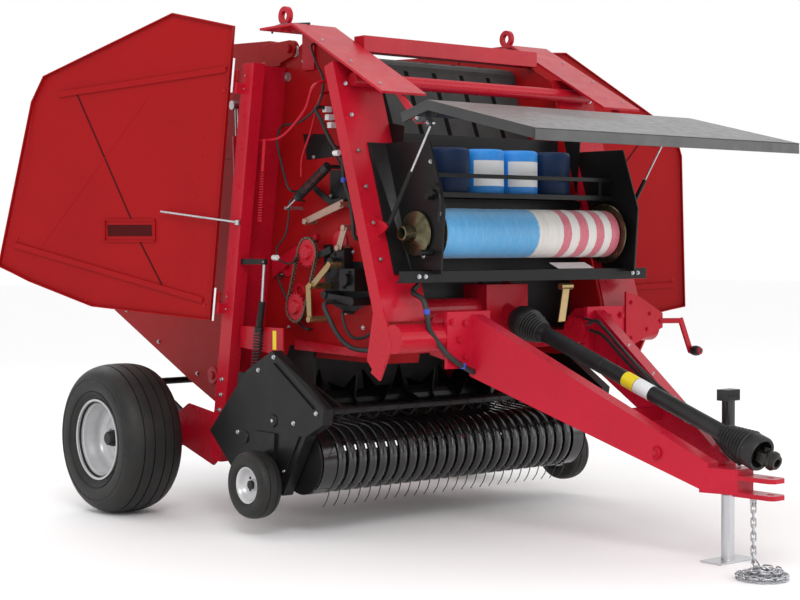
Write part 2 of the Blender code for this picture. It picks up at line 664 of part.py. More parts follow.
def crank():
    """The hand crank for the density valve on the left front corner, with its gusset."""
    gusset = [(0.602, 0.885), (0.602, 1.175), (0.700, 1.150), (0.880, 1.060), (0.880, 0.985)]
    plate = hull([(x, y, z) for x, z in gusset for y in (-2.010, CROSS_Y - CROSS_R - GAP)])
    spindle = rod((0.860, -2.005, 1.020), (0.960, -2.060, 1.020), 0.014, 12)
    arm = bar((0.960, -2.060, 1.030), (1.040, -2.060, 0.860), 0.012, 0.030)
    knob = rod((1.040, -2.056, 0.862), (1.040, -2.130, 0.862), 0.018, 12)
    node("valve_crank", PAINT, [plate, spindle, arm, knob])


# ---------------------------------------------------------------- tailgate
TAIL_LOW = [(-0.120, 0.535), (0.181, 0.659), (0.994, 1.027)]
TAIL_BACK = [(1.060, 1.200), (1.050, 1.720), (0.860, 2.130), (0.450, 2.400), (-0.100, 2.500)]
CYL_X, CYL_R = 0.760, 0.030
CYL_Y, CYL_Z = -0.555, 1.500
EYE_Y, EYE_Z = -0.530, 2.140  # rod eye on the tailgate


def tailgate():
    outline = [(split_y(z) + SPLIT_GAP, z) for z in (2.455, 0.64)] + TAIL_LOW + TAIL_BACK
    outline.append((-0.600, 2.480))
    inner = CHAMBER_HALF - GAP
    shapes, holes = [], []
    for side in SIDES:
        s = SIDES[side]
        ear_in = SHEET_OUT + 0.008
        ear_out = ear_in + PLATE
        ear = arc((PIVOT_Y, PIVOT_Z), 0.045, 90, 270, 8) + [(-0.600, 2.320), (-0.560, 2.460)]
        link = box((min(s * 0.600, s * ear_out), -0.720, 2.340), (max(s * 0.600, s * ear_out), -0.610, 2.450))
        hole = rod((s * 0.6, PIVOT_Y, PIVOT_Z), (s * 0.7, PIVOT_Y, PIVOT_Z), 0.022 + RUN)
        lug = [(-0.640, 2.120), (-0.640, 2.220), (-0.440, 2.300), (-0.440, 2.060), (EYE_Y, EYE_Z - 0.040)]
        lug_out = CYL_X - CYL_R - 0.006
        arm = box((min(s * 0.601, s * lug_out), -0.480, 2.080), (max(s * 0.601, s * lug_out), -0.440, 2.280))
        shapes += [
            prism(outline, *span(side, CHAMBER_HALF, SHEET_OUT)),
            prism(ear, *span(side, ear_in, ear_out)), link,
            prism(lug, *span(side, lug_out - PLATE, lug_out)), arm,
        ]
        holes.append(hole)
    across = CHAMBER_HALF + 0.001
    shapes.append(box((-across, -0.320, 2.380), (across, -0.240, 2.450)))
    shapes.append(box((-across, 0.960, 1.540), (across, 1.040, 1.660)))
    node("tailgate_frame", PAINT, shapes, holes, pivot=(0, PIVOT_Y, PIVOT_Z))
    rollers = [((-0.560, 2.330), 0.050), ((0.480, 2.240), 0.050), ((0.900, 1.480), 0.050),
               ((0.840, 1.090), 0.060), ((-0.060, 0.650), 0.070)]
    shapes = [rod((-inner, y, z), (inner, y, z), r, 12) for (y, z), r in rollers]
    run = [(y + (r + 0.003) * math.cos(math.radians(a)), z + (r + 0.003) * math.sin(math.radians(a)))
           for ((y, z), r), a in zip(rollers, (90, 60, 10, -60, -60))]
    width, pitch = 0.160, 0.190
    for i in range(6):
        x = (i - 2.5) * pitch
        shapes.append(prism(band(run[::-1], 0.008), x - width / 2, x + width / 2))
    node("tailgate_belts", WEB, shapes)


def tailgate_cylinders():
    """Lift cylinders between the hinge posts and the tailgate's lugs."""
    base, eye = Vector((0, CYL_Y, CYL_Z)), Vector((0, EYE_Y, EYE_Z))
    way = (eye - base).normalized()
    for side in SIDES:
        shift = Vector((SIDES[side] * CYL_X, 0, 0))
        half = Vector((CYL_R + 0.0055, 0, 0))
        foot = rod(base + shift - half, base + shift + half, 0.026)
        rod_r, barrel_len = 0.014, 0.480
        cup = turned([(0.010, 0), (0.010, CYL_R), (barrel_len, CYL_R), (barrel_len, rod_r + RUN),
                      (0.060, rod_r + RUN), (0.060, 0)], base + shift, way, 16)
        node(f"lift_barrel_{side}", PAINT, [cup, foot], pivot=base + shift)
        stem = rod(base + shift + way * 0.070, eye + shift - way * 0.010, rod_r, 16)
        knuckle = rod(eye + shift - half, eye + shift + half, 0.024)
        node(f"lift_rod_{side}", ("bare_steel", GALVANISED), [stem, knuckle], pivot=base + shift)


def kicker():
    """The bale ramp bar behind the axle, on two arms hinged at the axle beam."""
    y0, z0 = 0.075, AXLE_Z + AXLE_BEAM / 2 + 0.030
    shapes = [rod((-0.900, 0.420, 0.640), (0.900, 0.420, 0.640), 0.019, 12)]
    for side in SIDES:
        s = SIDES[side]
        shapes.append(bar((s * 0.700, y0, z0), (s * 0.700, 0.420, 0.640), 0.016, 0.040))
        shapes.append(rod((s * 0.690, y0, z0), (s * 0.730, y0, z0), 0.022, 12))
    node("bale_kicker", DARK, shapes, pivot=(0, y0, z0))


# ---------------------------------------------------------------- pickup
END_OUTLINE = [(-1.132, 0.900), (-1.548, 0.642), (-1.532, 0.566), (-1.406, 0.503), (-1.218, 0.200),
               (-0.791, 0.289), (-0.584, 0.468), (-0.909, 0.789)]
GUARD_Y, GUARD_Z = -1.120, 0.800  # wind guard pivot
SPRING_X, SPRING_LOW = 0.840, 0.770


def pickup():
    outer = PICKUP_HALF + PICKUP_END
    for side in SIDES:
        s = SIDES[side]
        arm = [(-1.170, 0.500), (-0.990, 0.500), (-1.060, 0.235), (-1.150, 0.235)]
        tab = [(-0.860, 0.735), (-0.815, 0.775), (-0.775, 0.775), (-0.740, 0.610), (-0.840, 0.620)]
        stub = rod((s * (outer + 0.010), GAUGE_Y, GAUGE_Z), (s * (GAUGE_X - 0.030 - RUN), GAUGE_Y, GAUGE_Z), 0.016)
        node(
            f"pickup_end_{side}", DARK,
            [
                prism(END_OUTLINE, *span(side, PICKUP_HALF, outer)),
                prism(arm, *span(side, outer - 0.001, outer + 0.014)), stub,
                prism(tab, *span(side, PICKUP_HALF + 0.001, PICKUP_HALF + 0.011)),
                rod((s * (SPRING_X - 0.030), -0.795, SPRING_LOW - 0.016 - RUN),
                    (s * (PICKUP_HALF + 0.005), -0.795, SPRING_LOW - 0.016 - RUN), 0.016, 12),
            ],
        )
    inner = PICKUP_HALF - GAP
    shell = [(-0.960, 0.275)] + arc((REEL_Y, REEL_Z), BAND_R, -75, -270, 14)
    shell.append((-1.040, REEL_Z + BAND_R + 0.025))
    node("pickup_bands", DARK, [
        prism(band(shell, BAND_T), -inner, inner), box((-inner, -0.990, 0.270), (inner, -0.920, 0.340))])
    bar_ring = 0.110
    run_half = PICKUP_HALF - RUN
    shapes = [rod((-run_half, REEL_Y, REEL_Z), (run_half, REEL_Y, REEL_Z), 0.028, 16)]
    for x in (-0.860, 0, 0.860):
        shapes.append(rod((x - 0.005, REEL_Y, REEL_Z), (x + 0.005, REEL_Y, REEL_Z), 0.128, 16))
    for k in range(4):
        turn = math.radians(45 + 90 * k)
        y, z = REEL_Y + bar_ring * math.cos(turn), REEL_Z + bar_ring * math.sin(turn)
        shapes.append(rod((-0.865, y, z), (0.865, y, z), 0.013, 6))
    node("pickup_reel", DARK, shapes, pivot=(0, REEL_Y, REEL_Z))
    bar_y, bar_z = -1.530, 0.630
    reach = PICKUP_HALF - 0.006
    guard = [rod((-reach, bar_y, bar_z), (reach, bar_y, bar_z), 0.016, 12)]
    for side in SIDES:
        s = SIDES[side]
        guard.append(bar((s * 0.857, GUARD_Y, GUARD_Z), (s * 0.857, bar_y, bar_z), 0.014, 0.040))
        guard.append(rod((s * 0.850, GUARD_Y, GUARD_Z), (s * (PICKUP_HALF - RUN), GUARD_Y, GUARD_Z), 0.024, 12))
    node("wind_guard", DARK, guard, pivot=(0, GUARD_Y, GUARD_Z))


def gauge_wheels():
    half = GAUGE_W / 2
    profile = [(-0.030, 0), (-0.030, 0.035), (-0.012, 0.040), (-0.012, 0.075), (-0.040, 0.088),
               (-half + 0.008, 0.105), (-half, 0.130), (-half + 0.014, 0.155), (-0.025, GAUGE_R),
               (0.025, GAUGE_R), (half - 0.014, 0.155), (half, 0.130), (half - 0.008, 0.105),
               (0.040, 0.088), (0.012, 0.075), (0.012, 0.040), (0.030, 0.035), (0.030, 0)]
    for side in SIDES:
        centre = (SIDES[side] * GAUGE_X, GAUGE_Y, GAUGE_Z)
        node(f"gauge_wheel_{side}", TYRE, [turned_solid(profile, centre, (1, 0, 0), 18)],
             pivot=centre, smooth=True)


def pickup_springs():
    """The springs that carry the pickup's weight, each hung on a rod from its hinge post."""
    for side in SIDES:
        s = SIDES[side]
        x = s * SPRING_X
        spring = rod((x, -0.798, SPRING_LOW), (x, -0.832, 1.000), 0.026, 12)
        hanger = rod((x, -0.830, 0.990), (x, -0.880, 1.340), 0.008, 8)
        hook = prism([(-0.895, 1.315), (-0.895, 1.345), (split_y(1.345) - POST_DEPTH - GAP, 1.345),
                      (split_y(1.315) - POST_DEPTH - GAP, 1.315)], x - 0.010, x + 0.010)
        node(f"pickup_spring_{side}", DARK, [spring, hanger, hook])


# ---------------------------------------------------------------- wheels
def main_wheels():
    half = TYRE_W / 2
    tread = TYRE_R
    tyre = [(-half + 0.030, RIM_R + 0.002), (-half + 0.006, RIM_R + 0.040), (-half, 0.290),
            (-half + 0.012, 0.345), (-half + 0.040, 0.378), (-half + 0.080, tread),
            (half - 0.080, tread), (half - 0.040, 0.378), (half - 0.012, 0.345), (half, 0.290),
            (half - 0.006, RIM_R + 0.040), (half - 0.030, RIM_R + 0.002)]
    for side in SIDES:
        centre = (SIDES[side] * WHEEL_X, 0, AXLE_Z)
        out = (SIDES[side], 0, 0)
        node(f"tyre_{side}", TYRE, [turned(tyre, centre, out, WHEEL_SIDES)], pivot=centre, smooth=True)
        rim = [(-0.035, 0), (-0.035, 0.090), (-0.060, RIM_R - 0.030), (-half + 0.030, RIM_R - 0.012),
               (-half + 0.030, RIM_R + 0.0015), (half - 0.030, RIM_R + 0.0015),
               (half - 0.030, RIM_R - 0.012), (0.070, RIM_R - 0.030), (0.020, 0.150), (0.010, 0.090),
               (0.060, 0.060), (0.060, 0)]
        node(f"rim_{side}", RIM, [turned_solid(rim, centre, out, WHEEL_SIDES)], pivot=centre, smooth=True)


# ---------------------------------------------------------------- shields, hood
SHIELD_X = BODY_HALF + 0.030  # inner face of a closed shield's sheet, and its hinge line
SHIELD_OUTLINE = [(-0.800, 2.510), (-1.150, 2.490), (-1.810, 1.990), (-1.850, 1.840), (-1.850, 0.930),
                  (-1.760, 0.920), (-1.650, 0.905), (-1.250, 0.886), (-0.568, 1.020)]
KNUCKLE_R, KNUCKLE = 0.010, 0.060
HINGES = (2.240, 1.120)  # heights of the two hinges
PROP_Z, PROP_R = 1.530, 0.006
PROP_AHEAD, PROP_IN = 0.094, 0.015  # its eye: in front of the hinge line, and inside it
PROP_LEN = 0.440


def hinge_point(side, z):
    """A point on a shield's leaning hinge line."""
    return Vector((SIDES[side] * SHIELD_X, split_y(z), z))


def hinge_axis(side):
    return (hinge_point(side, 2.0) - hinge_point(side, 1.0)).normalized()


def hinge_ahead(side):
    """Square to the hinge line, along a closed shield towards the drawbar."""
    return hinge_axis(side).cross(Vector((1, 0, 0))).normalized() * -1


def swung(side, mesh, angle):
    """Turns a piece made on a closed shield about the hinge line."""
    at = hinge_point(side, 1.0)
    swing = Matrix.Rotation(math.radians(angle) * SIDES[side], 4, hinge_axis(side))
    mesh.transform(Matrix.Translation(at) @ swing @ Matrix.Translation(-at))
    return mesh


def knuckles(side, half):
    """Hinge barrels with their leaves: the post's half sits under the shield's."""
    shapes = []
    axis, ahead = hinge_axis(side), hinge_ahead(side)
    for z in HINGES:
        middle = hinge_point(side, z)
        if half == "post":
            a, b = middle - axis * KNUCKLE, middle - axis * RUN
            leaf = hull([q + Vector((SIDES[side] * dx, 0, 0)) + ahead * du
                         for q in (a + axis * 0.003, b - axis * 0.003)
                         for dx in (0.0, BODY_HALF - SHIELD_X - 0.004) for du in (0.002, 0.012)])
        else:
            a, b = middle, middle + axis * KNUCKLE
            leaf = hull([q + Vector((SIDES[side] * dx, 0, 0)) + ahead * du
                         for q in (a + axis * 0.003, b - axis * 0.003)
                         for dx in (-0.004, 0.003) for du in (0.0, 0.060)])
        shapes += [rod(a, b, KNUCKLE_R, 10), leaf]
    return shapes


def shield(side):
    """A side shield: a flat sheet with folded lips and two stiffeners, swung open on its hinges."""
    lip = offset(SHIELD_OUTLINE, 0.006)
    outer = prism(SHIELD_OUTLINE, *span(side, SHIELD_X - SHIELD_LIP, SHIELD_X + SHIELD_T))
    hollow = prism(lip, *span(side, SHIELD_X - SHIELD_LIP - 0.01, SHIELD_X))
    pan = combine(outer, [hollow], "DIFFERENCE")
    ribs = [prism(band([a, b], 0.030), *span(side, SHIELD_X - 0.012, SHIELD_X + 0.001))
            for a, b in (((-0.800, 2.302), (-1.710, 1.931)), ((-0.640, 1.121), (-1.785, 1.083)))]
    mesh = combine(pan, ribs + knuckles(side, "shield"), "UNION")
    node(f"side_shield_{side}", PAINT, [swung(side, mesh, SHIELD_OPEN[side])], pivot=hinge_point(side, 1.0))


def prop_rods():
    """The rods that hold the shields open: the right one in use, the left one clipped to its shield."""
    for side in SIDES:
        eye = hinge_point(side, PROP_Z) + Vector((-SIDES[side] * PROP_IN, -PROP_AHEAD, 0))
        ahead = hinge_ahead(side)
        if side == "right":
            swing = Matrix.Rotation(math.radians(SHIELD_OPEN[side]) * SIDES[side], 3, hinge_axis(side))
            reach = swing @ ahead
            up = hinge_axis(side) * 0.012
            boss = rod(eye - up, eye + up, SHIELD_X - PROP_IN - BODY_HALF - RUN, 12)
            node("prop_rod_right", STEEL, [rod(eye, eye + reach * PROP_LEN, PROP_R, 8), boss], pivot=eye)
        else:
            start = hinge_point(side, PROP_Z) + ahead * 0.120 - Vector((SIDES[side] * (PROP_R + GAP), 0, 0))
            mesh = rod(start, start + ahead * PROP_LEN, PROP_R, 8)
            node("prop_rod_left", STEEL, [swung(side, mesh, SHIELD_OPEN[side])])


STRUT_X, STRUT_Y, STRUT_Z = 0.790, -1.800, 1.500  # foot of each gas strut
STRUT_TOP = (-2.110, 1.965)  # its end on the raised hood


def hood_struts():
    """Gas struts from the front columns to the hood."""
    for side in SIDES:
        foot = Vector((SIDES[side] * STRUT_X, STRUT_Y, STRUT_Z))
        top = Vector((SIDES[side] * STRUT_X, *STRUT_TOP))
        way = (top - foot).normalized()
        half = Vector((0.011, 0, 0))
        tube_r, rod_r, tube_len = 0.011, 0.005, 0.300
        cup = turned([(0.012, 0), (0.012, tube_r), (tube_len, tube_r), (tube_len, rod_r + RUN),
                      (0.030, rod_r + RUN), (0.030, 0)], foot, way, 12)
        node(f"hood_strut_tube_{side}", DARK, [cup, rod(foot - half, foot + half, 0.013, 10)], pivot=foot)
        stem = rod(foot + way * 0.215, top, rod_r, 12)
        node(f"hood_strut_rod_{side}", STEEL, [stem, rod(top - half, top + half, 0.011, 10)], pivot=foot)


def hood():
    """The hood over the net box, raised, with its side flanges and hinge ears."""
    top = [(-2.005, 2.010), (-2.188, 2.058), (-2.869, 1.900)]
    t = 0.012
    sheet = prism(band(top, t), -HOOD_HALF, HOOD_HALF)
    flange = band(offset(top, 0.003, closed=False), 0.042)
    shapes = [sheet]
    for side in SIDES:
        shapes.append(prism(flange, *span(side, HOOD_HALF - 0.011, HOOD_HALF - 0.001)))
        ear = [(HOOD_Y + 0.025, HOOD_Z + 0.025), (HOOD_Y + 0.025, HOOD_Z - 0.025),
               (HOOD_Y - 0.025, HOOD_Z - 0.025), (-2.100, 2.000), (-2.100, 2.030), (-2.005, 2.005)]
        shapes.append(prism(ear, *span(side, 0.732 + RUN, 0.744)))
        lug = [(STRUT_TOP[0] + 0.018, STRUT_TOP[1] - 0.018), (STRUT_TOP[0] + 0.018, 2.030),
               (STRUT_TOP[0] - 0.018, 2.030), (STRUT_TOP[0] - 0.018, STRUT_TOP[1] - 0.018)]
        shapes.append(prism(lug, *span(side, STRUT_X + 0.011 + RUN, STRUT_X + 0.021)))
    lip = [(-2.868, 1.895), (-2.856, 1.895), (-2.858, 1.850), (-2.870, 1.850)]
    shapes.append(prism(lip, 0.002 - HOOD_HALF, HOOD_HALF - 0.002))
    node("hood", DARK, shapes, pivot=(0, HOOD_Y, HOOD_Z))


def main():
    side_sheets()
    hinge_posts()
    front_columns()
    shoulder_covers()
    cross_members()
    axle()
    front_belts()
    feed_throat()
    drawbar()
    pto()
    jack()
    net_box()
    chain_drive()
    crank()
    tailgate()
    tailgate_cylinders()
    kicker()
    pickup()
    gauge_wheels()
    pickup_springs()
    main_wheels()
    for side in SIDES:
        shield(side)
    prop_rods()
    hood()
    hood_struts()
    hose()
    safety_chain()


clear_scene()
ROOT = bpy.data.objects.new("baler_origin", None)
ROOT.location = -ORIGIN
bpy.context.collection.objects.link(ROOT)
main()
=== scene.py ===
"""The looks of the round baler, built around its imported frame.

Places are written in machine axes, as in the part's source: +X is the baler's left, +Y its rear,
Y = 0 on the axle and Z = 0 on the ground. piece() moves each finished mesh into the row frame.
Lengths are metres, angles degrees.
"""

import math
import random

import bmesh
import bpy
from mathutils import Matrix, Vector


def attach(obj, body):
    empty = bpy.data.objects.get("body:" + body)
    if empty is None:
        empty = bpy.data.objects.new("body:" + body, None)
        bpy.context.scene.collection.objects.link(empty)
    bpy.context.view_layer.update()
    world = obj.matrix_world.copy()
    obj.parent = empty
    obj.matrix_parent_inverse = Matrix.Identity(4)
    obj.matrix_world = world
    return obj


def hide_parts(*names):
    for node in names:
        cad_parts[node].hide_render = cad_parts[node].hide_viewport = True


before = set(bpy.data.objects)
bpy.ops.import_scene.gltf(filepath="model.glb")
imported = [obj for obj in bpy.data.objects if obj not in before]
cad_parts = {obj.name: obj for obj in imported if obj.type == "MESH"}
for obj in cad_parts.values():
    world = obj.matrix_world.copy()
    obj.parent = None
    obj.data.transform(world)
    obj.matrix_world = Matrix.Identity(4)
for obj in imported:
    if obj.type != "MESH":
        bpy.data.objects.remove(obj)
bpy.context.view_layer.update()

ORIGIN = Vector((0.0, -3.335, 0.425))
SIDES = {"right": -1.0, "left": 1.0}
WHEEL_X, AXLE_Z, TYRE_R, TYRE_HALF = 1.15, 0.3935, 0.3935, 0.1715
GAUGE = Vector((1.062, -1.106, 0.252))
GAUGE_R, GAUGE_HALF = 0.165, 0.061
REEL = Vector((0.0, -1.27, 0.37))
BAND_OUT, BAND_HALF = 0.168, 0.806
PICKUP_IN, HOUSING_OUT = 0.9147, 0.9755
NET = Vector((0.0, -1.855, 1.47))
NET_R, NET_HALF = 0.1195, 0.5965
PTO_REAR, PTO_FRONT = Vector((0, -1.82, 1.06)), Vector((0, -3.43, 0.49))
SHIELD_X, SPLIT_LEAN = 0.9, 0.1545
SHIELD_OPEN = {"right": 150.0, "left": 64.0}
JACK_X, JACK_Y = 0.165, -3.03
SHEET_OUT, SHEET_FACE = 0.602, 0.6025  # the side sheets, and a thin mark on them
CROSS = Vector((1, 0, 0))
rng = random.Random(7)


# ---------------------------------------------------------------- materials
def nodes_of(name):
    """A new material with its node tree and shader."""
    made = bpy.data.materials.new(name)
    made.use_nodes = True
    tree = made.node_tree
    return made, tree, tree.nodes["Principled BSDF"]


def add(tree, kind, **values):
    """A new node with its inputs or settings given by name."""
    made = tree.nodes.new(kind)
    for key, value in values.items():
        if key in made.inputs:
            made.inputs[key].default_value = value
        else:
            setattr(made, key, value)
    return made


def place(tree, stretch=(1, 1, 1)):
    """Object coordinates in metres, stretched."""
    source = add(tree, "ShaderNodeTexCoord")
    scaled = add(tree, "ShaderNodeMapping")
    scaled.inputs["Scale"].default_value = stretch
    tree.links.new(source.outputs["Object"], scaled.inputs["Vector"])
    return scaled.outputs["Vector"]


def noise(tree, vector, scale, detail=4.0, roughness=0.55):
    """Noise of so many cells to the metre."""
    made = add(tree, "ShaderNodeTexNoise", Scale=scale, Detail=detail, Roughness=roughness)
    tree.links.new(vector, made.inputs["Vector"])
    return made.outputs["Fac"]


def spread(tree, value, low, high, from_low=0.3, from_high=0.7):
    """Maps a value from one span to another."""
    made = add(tree, "ShaderNodeMapRange")
    for key, number in (("From Min", from_low), ("From Max", from_high), ("To Min", low), ("To Max", high)):
        made.inputs[key].default_value = number
    tree.links.new(value, made.inputs["Value"])
    return made.outputs["Result"]


def blend_colours(tree, factor, one, two):
    """One colour faded into another by a factor."""
    made = add(tree, "ShaderNodeMix", data_type="RGBA")
    for socket, value in ((6, one), (7, two)):
        if isinstance(value, bpy.types.NodeSocket):
            tree.links.new(value, made.inputs[socket])
        else:
            made.inputs[socket].default_value = (*value, 1.0)
    tree.links.new(factor, made.inputs[0])
    return made.outputs[2]


def bump(tree, shader, height, strength, distance):
    """Gives a shader's normal a relief."""
    made = add(tree, "ShaderNodeBump", Strength=strength, Distance=distance)
    tree.links.new(height, made.inputs["Height"])
    tree.links.new(made.outputs["Normal"], shader.inputs["Normal"])


def surface(name, colour, rough, metal=0.0, coat=0.0, other=None, patch=6.0, grain=900.0,
            depth=0.00005, strength=0.3, stretch=(1, 1, 1), rough_swing=0.12, shine=0.5):
    """A finish with slow colour and gloss variation and a fine grain in its bump."""
    made, tree, shader = nodes_of(name)
    vector = place(tree, stretch)
    slow = noise(tree, vector, patch)
    other = other or tuple(c * 0.86 for c in colour)
    mixed = blend_colours(tree, spread(tree, slow, 0.0, 1.0), colour, other)
    tree.links.new(mixed, shader.inputs["Base Color"])
    gloss = spread(tree, noise(tree, vector, patch * 7), rough - rough_swing / 2, rough + rough_swing / 2)
    tree.links.new(gloss, shader.inputs["Roughness"])
    shader.inputs["Metallic"].default_value = metal
    shader.inputs["Coat Weight"].default_value = coat
    shader.inputs["Specular IOR Level"].default_value = shine
    shader.inputs["Coat Roughness"].default_value = 0.12
    bump(tree, shader, noise(tree, vector, grain, 2.0), strength, depth)
    return made


def net_material():
    """Knitted net: blue, then white with four red stripes, over fine crossed threads."""
    made, tree, shader = nodes_of("net_knit")
    vector = place(tree)
    split = add(tree, "ShaderNodeSeparateXYZ")
    tree.links.new(vector, split.inputs["Vector"])
    wobble = noise(tree, vector, 60.0)
    nudge = add(tree, "ShaderNodeMath", operation="MULTIPLY_ADD")
    nudge.inputs[1].default_value, nudge.inputs[2].default_value = 0.012, -0.006
    tree.links.new(wobble, nudge.inputs[0])
    across = add(tree, "ShaderNodeMath", operation="ADD")
    tree.links.new(split.outputs["X"], across.inputs[0])
    tree.links.new(nudge.outputs[0], across.inputs[1])
    share = spread(tree, across.outputs[0], 0.0, 1.0, -0.597, 0.597)
    ramp = add(tree, "ShaderNodeValToRGB")
    ramp.color_ramp.interpolation = "CONSTANT"
    blue, white, red = (0.045, 0.36, 0.72, 1), (0.8, 0.76, 0.7, 1), (0.66, 0.085, 0.13, 1)
    stops = [(0.0, blue), (0.517, white), (0.659, red), (0.706, white), (0.753, red), (0.806, white),
             (0.854, red), (0.902, white), (0.945, red)]
    elements = ramp.color_ramp.elements
    elements[0].position, elements[0].color = stops[0]
    elements[1].position, elements[1].color = stops[1]
    for position, colour in stops[2:]:
        elements.new(position).color = colour
    tree.links.new(share, ramp.inputs["Fac"])
    threads = noise(tree, place(tree, (260, 1, 1)), 3.0, 3.0, 0.7)
    crossed = noise(tree, place(tree, (60, 1, 1)), 26.0, 4.0, 0.8)
    pale = blend_colours(tree, spread(tree, crossed, 0.0, 0.42, 0.5, 0.66), ramp.outputs["Color"],
                         (0.85, 0.9, 0.95))
    # Painted shade: dark blue mixed in along the threads, for the shade between them.
    shade = blend_colours(tree, spread(tree, threads, 0.0, 0.35, 0.45, 0.62), pale, (0.02, 0.1, 0.2))
    tree.links.new(shade, shader.inputs["Base Color"])
    shader.inputs["Roughness"].default_value = 0.42
    shader.inputs["Sheen Weight"].default_value = 0.25
    bump(tree, shader, threads, 0.7, 0.0015)
    return made


def spangle_material():
    """Hot-dip galvanising: a bright metal broken into faint crystals."""
    made, tree, shader = nodes_of("galvanised_coat")
    vector = place(tree)
    cells = add(tree, "ShaderNodeTexVoronoi", Scale=260.0)
    tree.links.new(vector, cells.inputs["Vector"])
    grey = blend_colours(tree, spread(tree, cells.outputs["Distance"], 0.0, 1.0, 0.0, 0.7),
                         (0.62, 0.63, 0.65), (0.42, 0.43, 0.45))
    tree.links.new(grey, shader.inputs["Base Color"])
    tree.links.new(spread(tree, noise(tree, vector, 45.0), 0.28, 0.46), shader.inputs["Roughness"])
    shader.inputs["Metallic"].default_value = 0.9
    bump(tree, shader, noise(tree, vector, 500.0), 0.25, 0.0001)
    return made


def jack_material():
    """The jack leg: black tube above its sleeve's foot, bright below it."""
    made, tree, shader = nodes_of("jack_leg_coat")
    vector = place(tree)
    split = add(tree, "ShaderNodeSeparateXYZ")
    tree.links.new(vector, split.inputs["Vector"])
    high = spread(tree, split.outputs["Z"], 0.0, 1.0, -0.129, -0.125)
    coat = blend_colours(tree, high, (0.55, 0.56, 0.58), (0.014, 0.014, 0.015))
    tree.links.new(coat, shader.inputs["Base Color"])
    tree.links.new(spread(tree, high, 0.85, 0.0, 0.0, 1.0), shader.inputs["Metallic"])
    tree.links.new(spread(tree, noise(tree, vector, 60.0), 0.26, 0.44), shader.inputs["Roughness"])
    bump(tree, shader, noise(tree, vector, 700.0), 0.2, 0.0001)
    return made


def weave_material(name, colour, other, scale, depth):
    """Ribbed rubber belting: a fine crossed weave in the bump."""
    made, tree, shader = nodes_of(name)
    vector = place(tree)
    waves = []
    for way in ("X", "Z"):
        wave = add(tree, "ShaderNodeTexWave", Scale=scale, Distortion=0.4, bands_direction=way)
        tree.links.new(vector, wave.inputs["Vector"])
        waves.append(wave.outputs["Fac"])
    both = add(tree, "ShaderNodeMath", operation="MULTIPLY")
    tree.links.new(waves[0], both.inputs[0])
    tree.links.new(waves[1], both.inputs[1])
    mixed = blend_colours(tree, spread(tree, noise(tree, vector, 9.0), 0.0, 1.0), colour, other)
    tree.links.new(mixed, shader.inputs["Base Color"])
    shader.inputs["Roughness"].default_value = 0.62
    bump(tree, shader, both.outputs[0], 0.6, depth)
    return made


PAINT = surface("red_enamel", (0.43, 0.006, 0.02), 0.3, coat=0.05, other=(0.35, 0.0048, 0.014), patch=2.2,
                shine=0.2)
PANEL = surface("red_panel", (0.315, 0.005, 0.007), 0.42, other=(0.27, 0.0042, 0.006), patch=1.5, shine=0.12)
BEAM = surface("red_beam", (0.46, 0.006, 0.026), 0.3, coat=0.06, other=(0.39, 0.005, 0.02), patch=2.0,
               shine=0.2)
# Painted shade: a near-black red for the shade in the shields' grooves and latch well.
GROOVE_SHADE = surface("shadow_red", (0.06, 0.003, 0.004), 0.6, shine=0.1)
# Painted shadow: a near-black finish for the strips in the gaps between the belts.
SHADOW = surface("belt_gap_shadow_coat", (0.004, 0.004, 0.004), 0.7, shine=0.05)
BLACK = surface("black_powder", (0.007, 0.0066, 0.007), 0.34, other=(0.011, 0.0105, 0.011),
                grain=1500.0, shine=0.2)
GLOSS = surface("black_gloss", (0.006, 0.006, 0.0065), 0.2, coat=0.35, other=(0.01, 0.01, 0.011))
HOOD = surface("hood_shell", (0.012, 0.012, 0.013), 0.34, coat=0.15, other=(0.026, 0.026, 0.028), patch=3.0)
PLASTIC = surface("moulded_black", (0.0085, 0.0085, 0.009), 0.46, other=(0.016, 0.016, 0.017), grain=2200.0,
                  depth=0.0001, strength=0.5, shine=0.35)
TYRE = surface("tyre_rubber_skin", (0.009, 0.0088, 0.0085), 0.55, other=(0.018, 0.017, 0.016), patch=7.0,
               grain=700.0, depth=0.0003, strength=0.45, shine=0.35)
SILVER = surface("rim_paint", (0.56, 0.56, 0.57), 0.34, metal=0.35, coat=0.2, other=(0.48, 0.48, 0.49))
ZINC = surface("zinc_yellow", (0.4, 0.28, 0.11), 0.38, metal=0.85, other=(0.34, 0.25, 0.15), patch=30.0)
BRONZE = surface("zinc_pinkish", (0.46, 0.3, 0.25), 0.4, metal=0.8, other=(0.36, 0.26, 0.2), patch=30.0)
STEEL = surface("bright_steel", (0.56, 0.57, 0.59), 0.28, metal=0.95, other=(0.44, 0.45, 0.47), patch=25.0)
OILED = surface("oiled_chain", (0.085, 0.075, 0.06), 0.35, metal=0.9, other=(0.2, 0.17, 0.12), patch=90.0)
FORGED = surface("forged_dark", (0.022, 0.021, 0.02), 0.38, metal=0.7, other=(0.045, 0.042, 0.038),
                 patch=60.0)
STEEL_DARK = surface("tine_steel", (0.03, 0.03, 0.031), 0.36, metal=0.7, other=(0.1, 0.1, 0.1), patch=30.0)
DULL = surface("dull_trim", (0.04, 0.038, 0.036), 0.5)
DISC = surface("worn_disc", (0.2, 0.175, 0.1), 0.3, metal=0.9, other=(0.07, 0.06, 0.035), patch=14.0)
HOSE = surface("hose_cover", (0.01, 0.01, 0.011), 0.5, other=(0.02, 0.02, 0.02), grain=1400.0,
               depth=0.0002, strength=0.5, shine=0.4)
TWINE = surface("twine_wound", (0.008, 0.18, 0.6), 0.45, other=(0.02, 0.3, 0.8), patch=40.0,
                grain=6.0, depth=0.002, strength=0.8, stretch=(1, 1, 60))
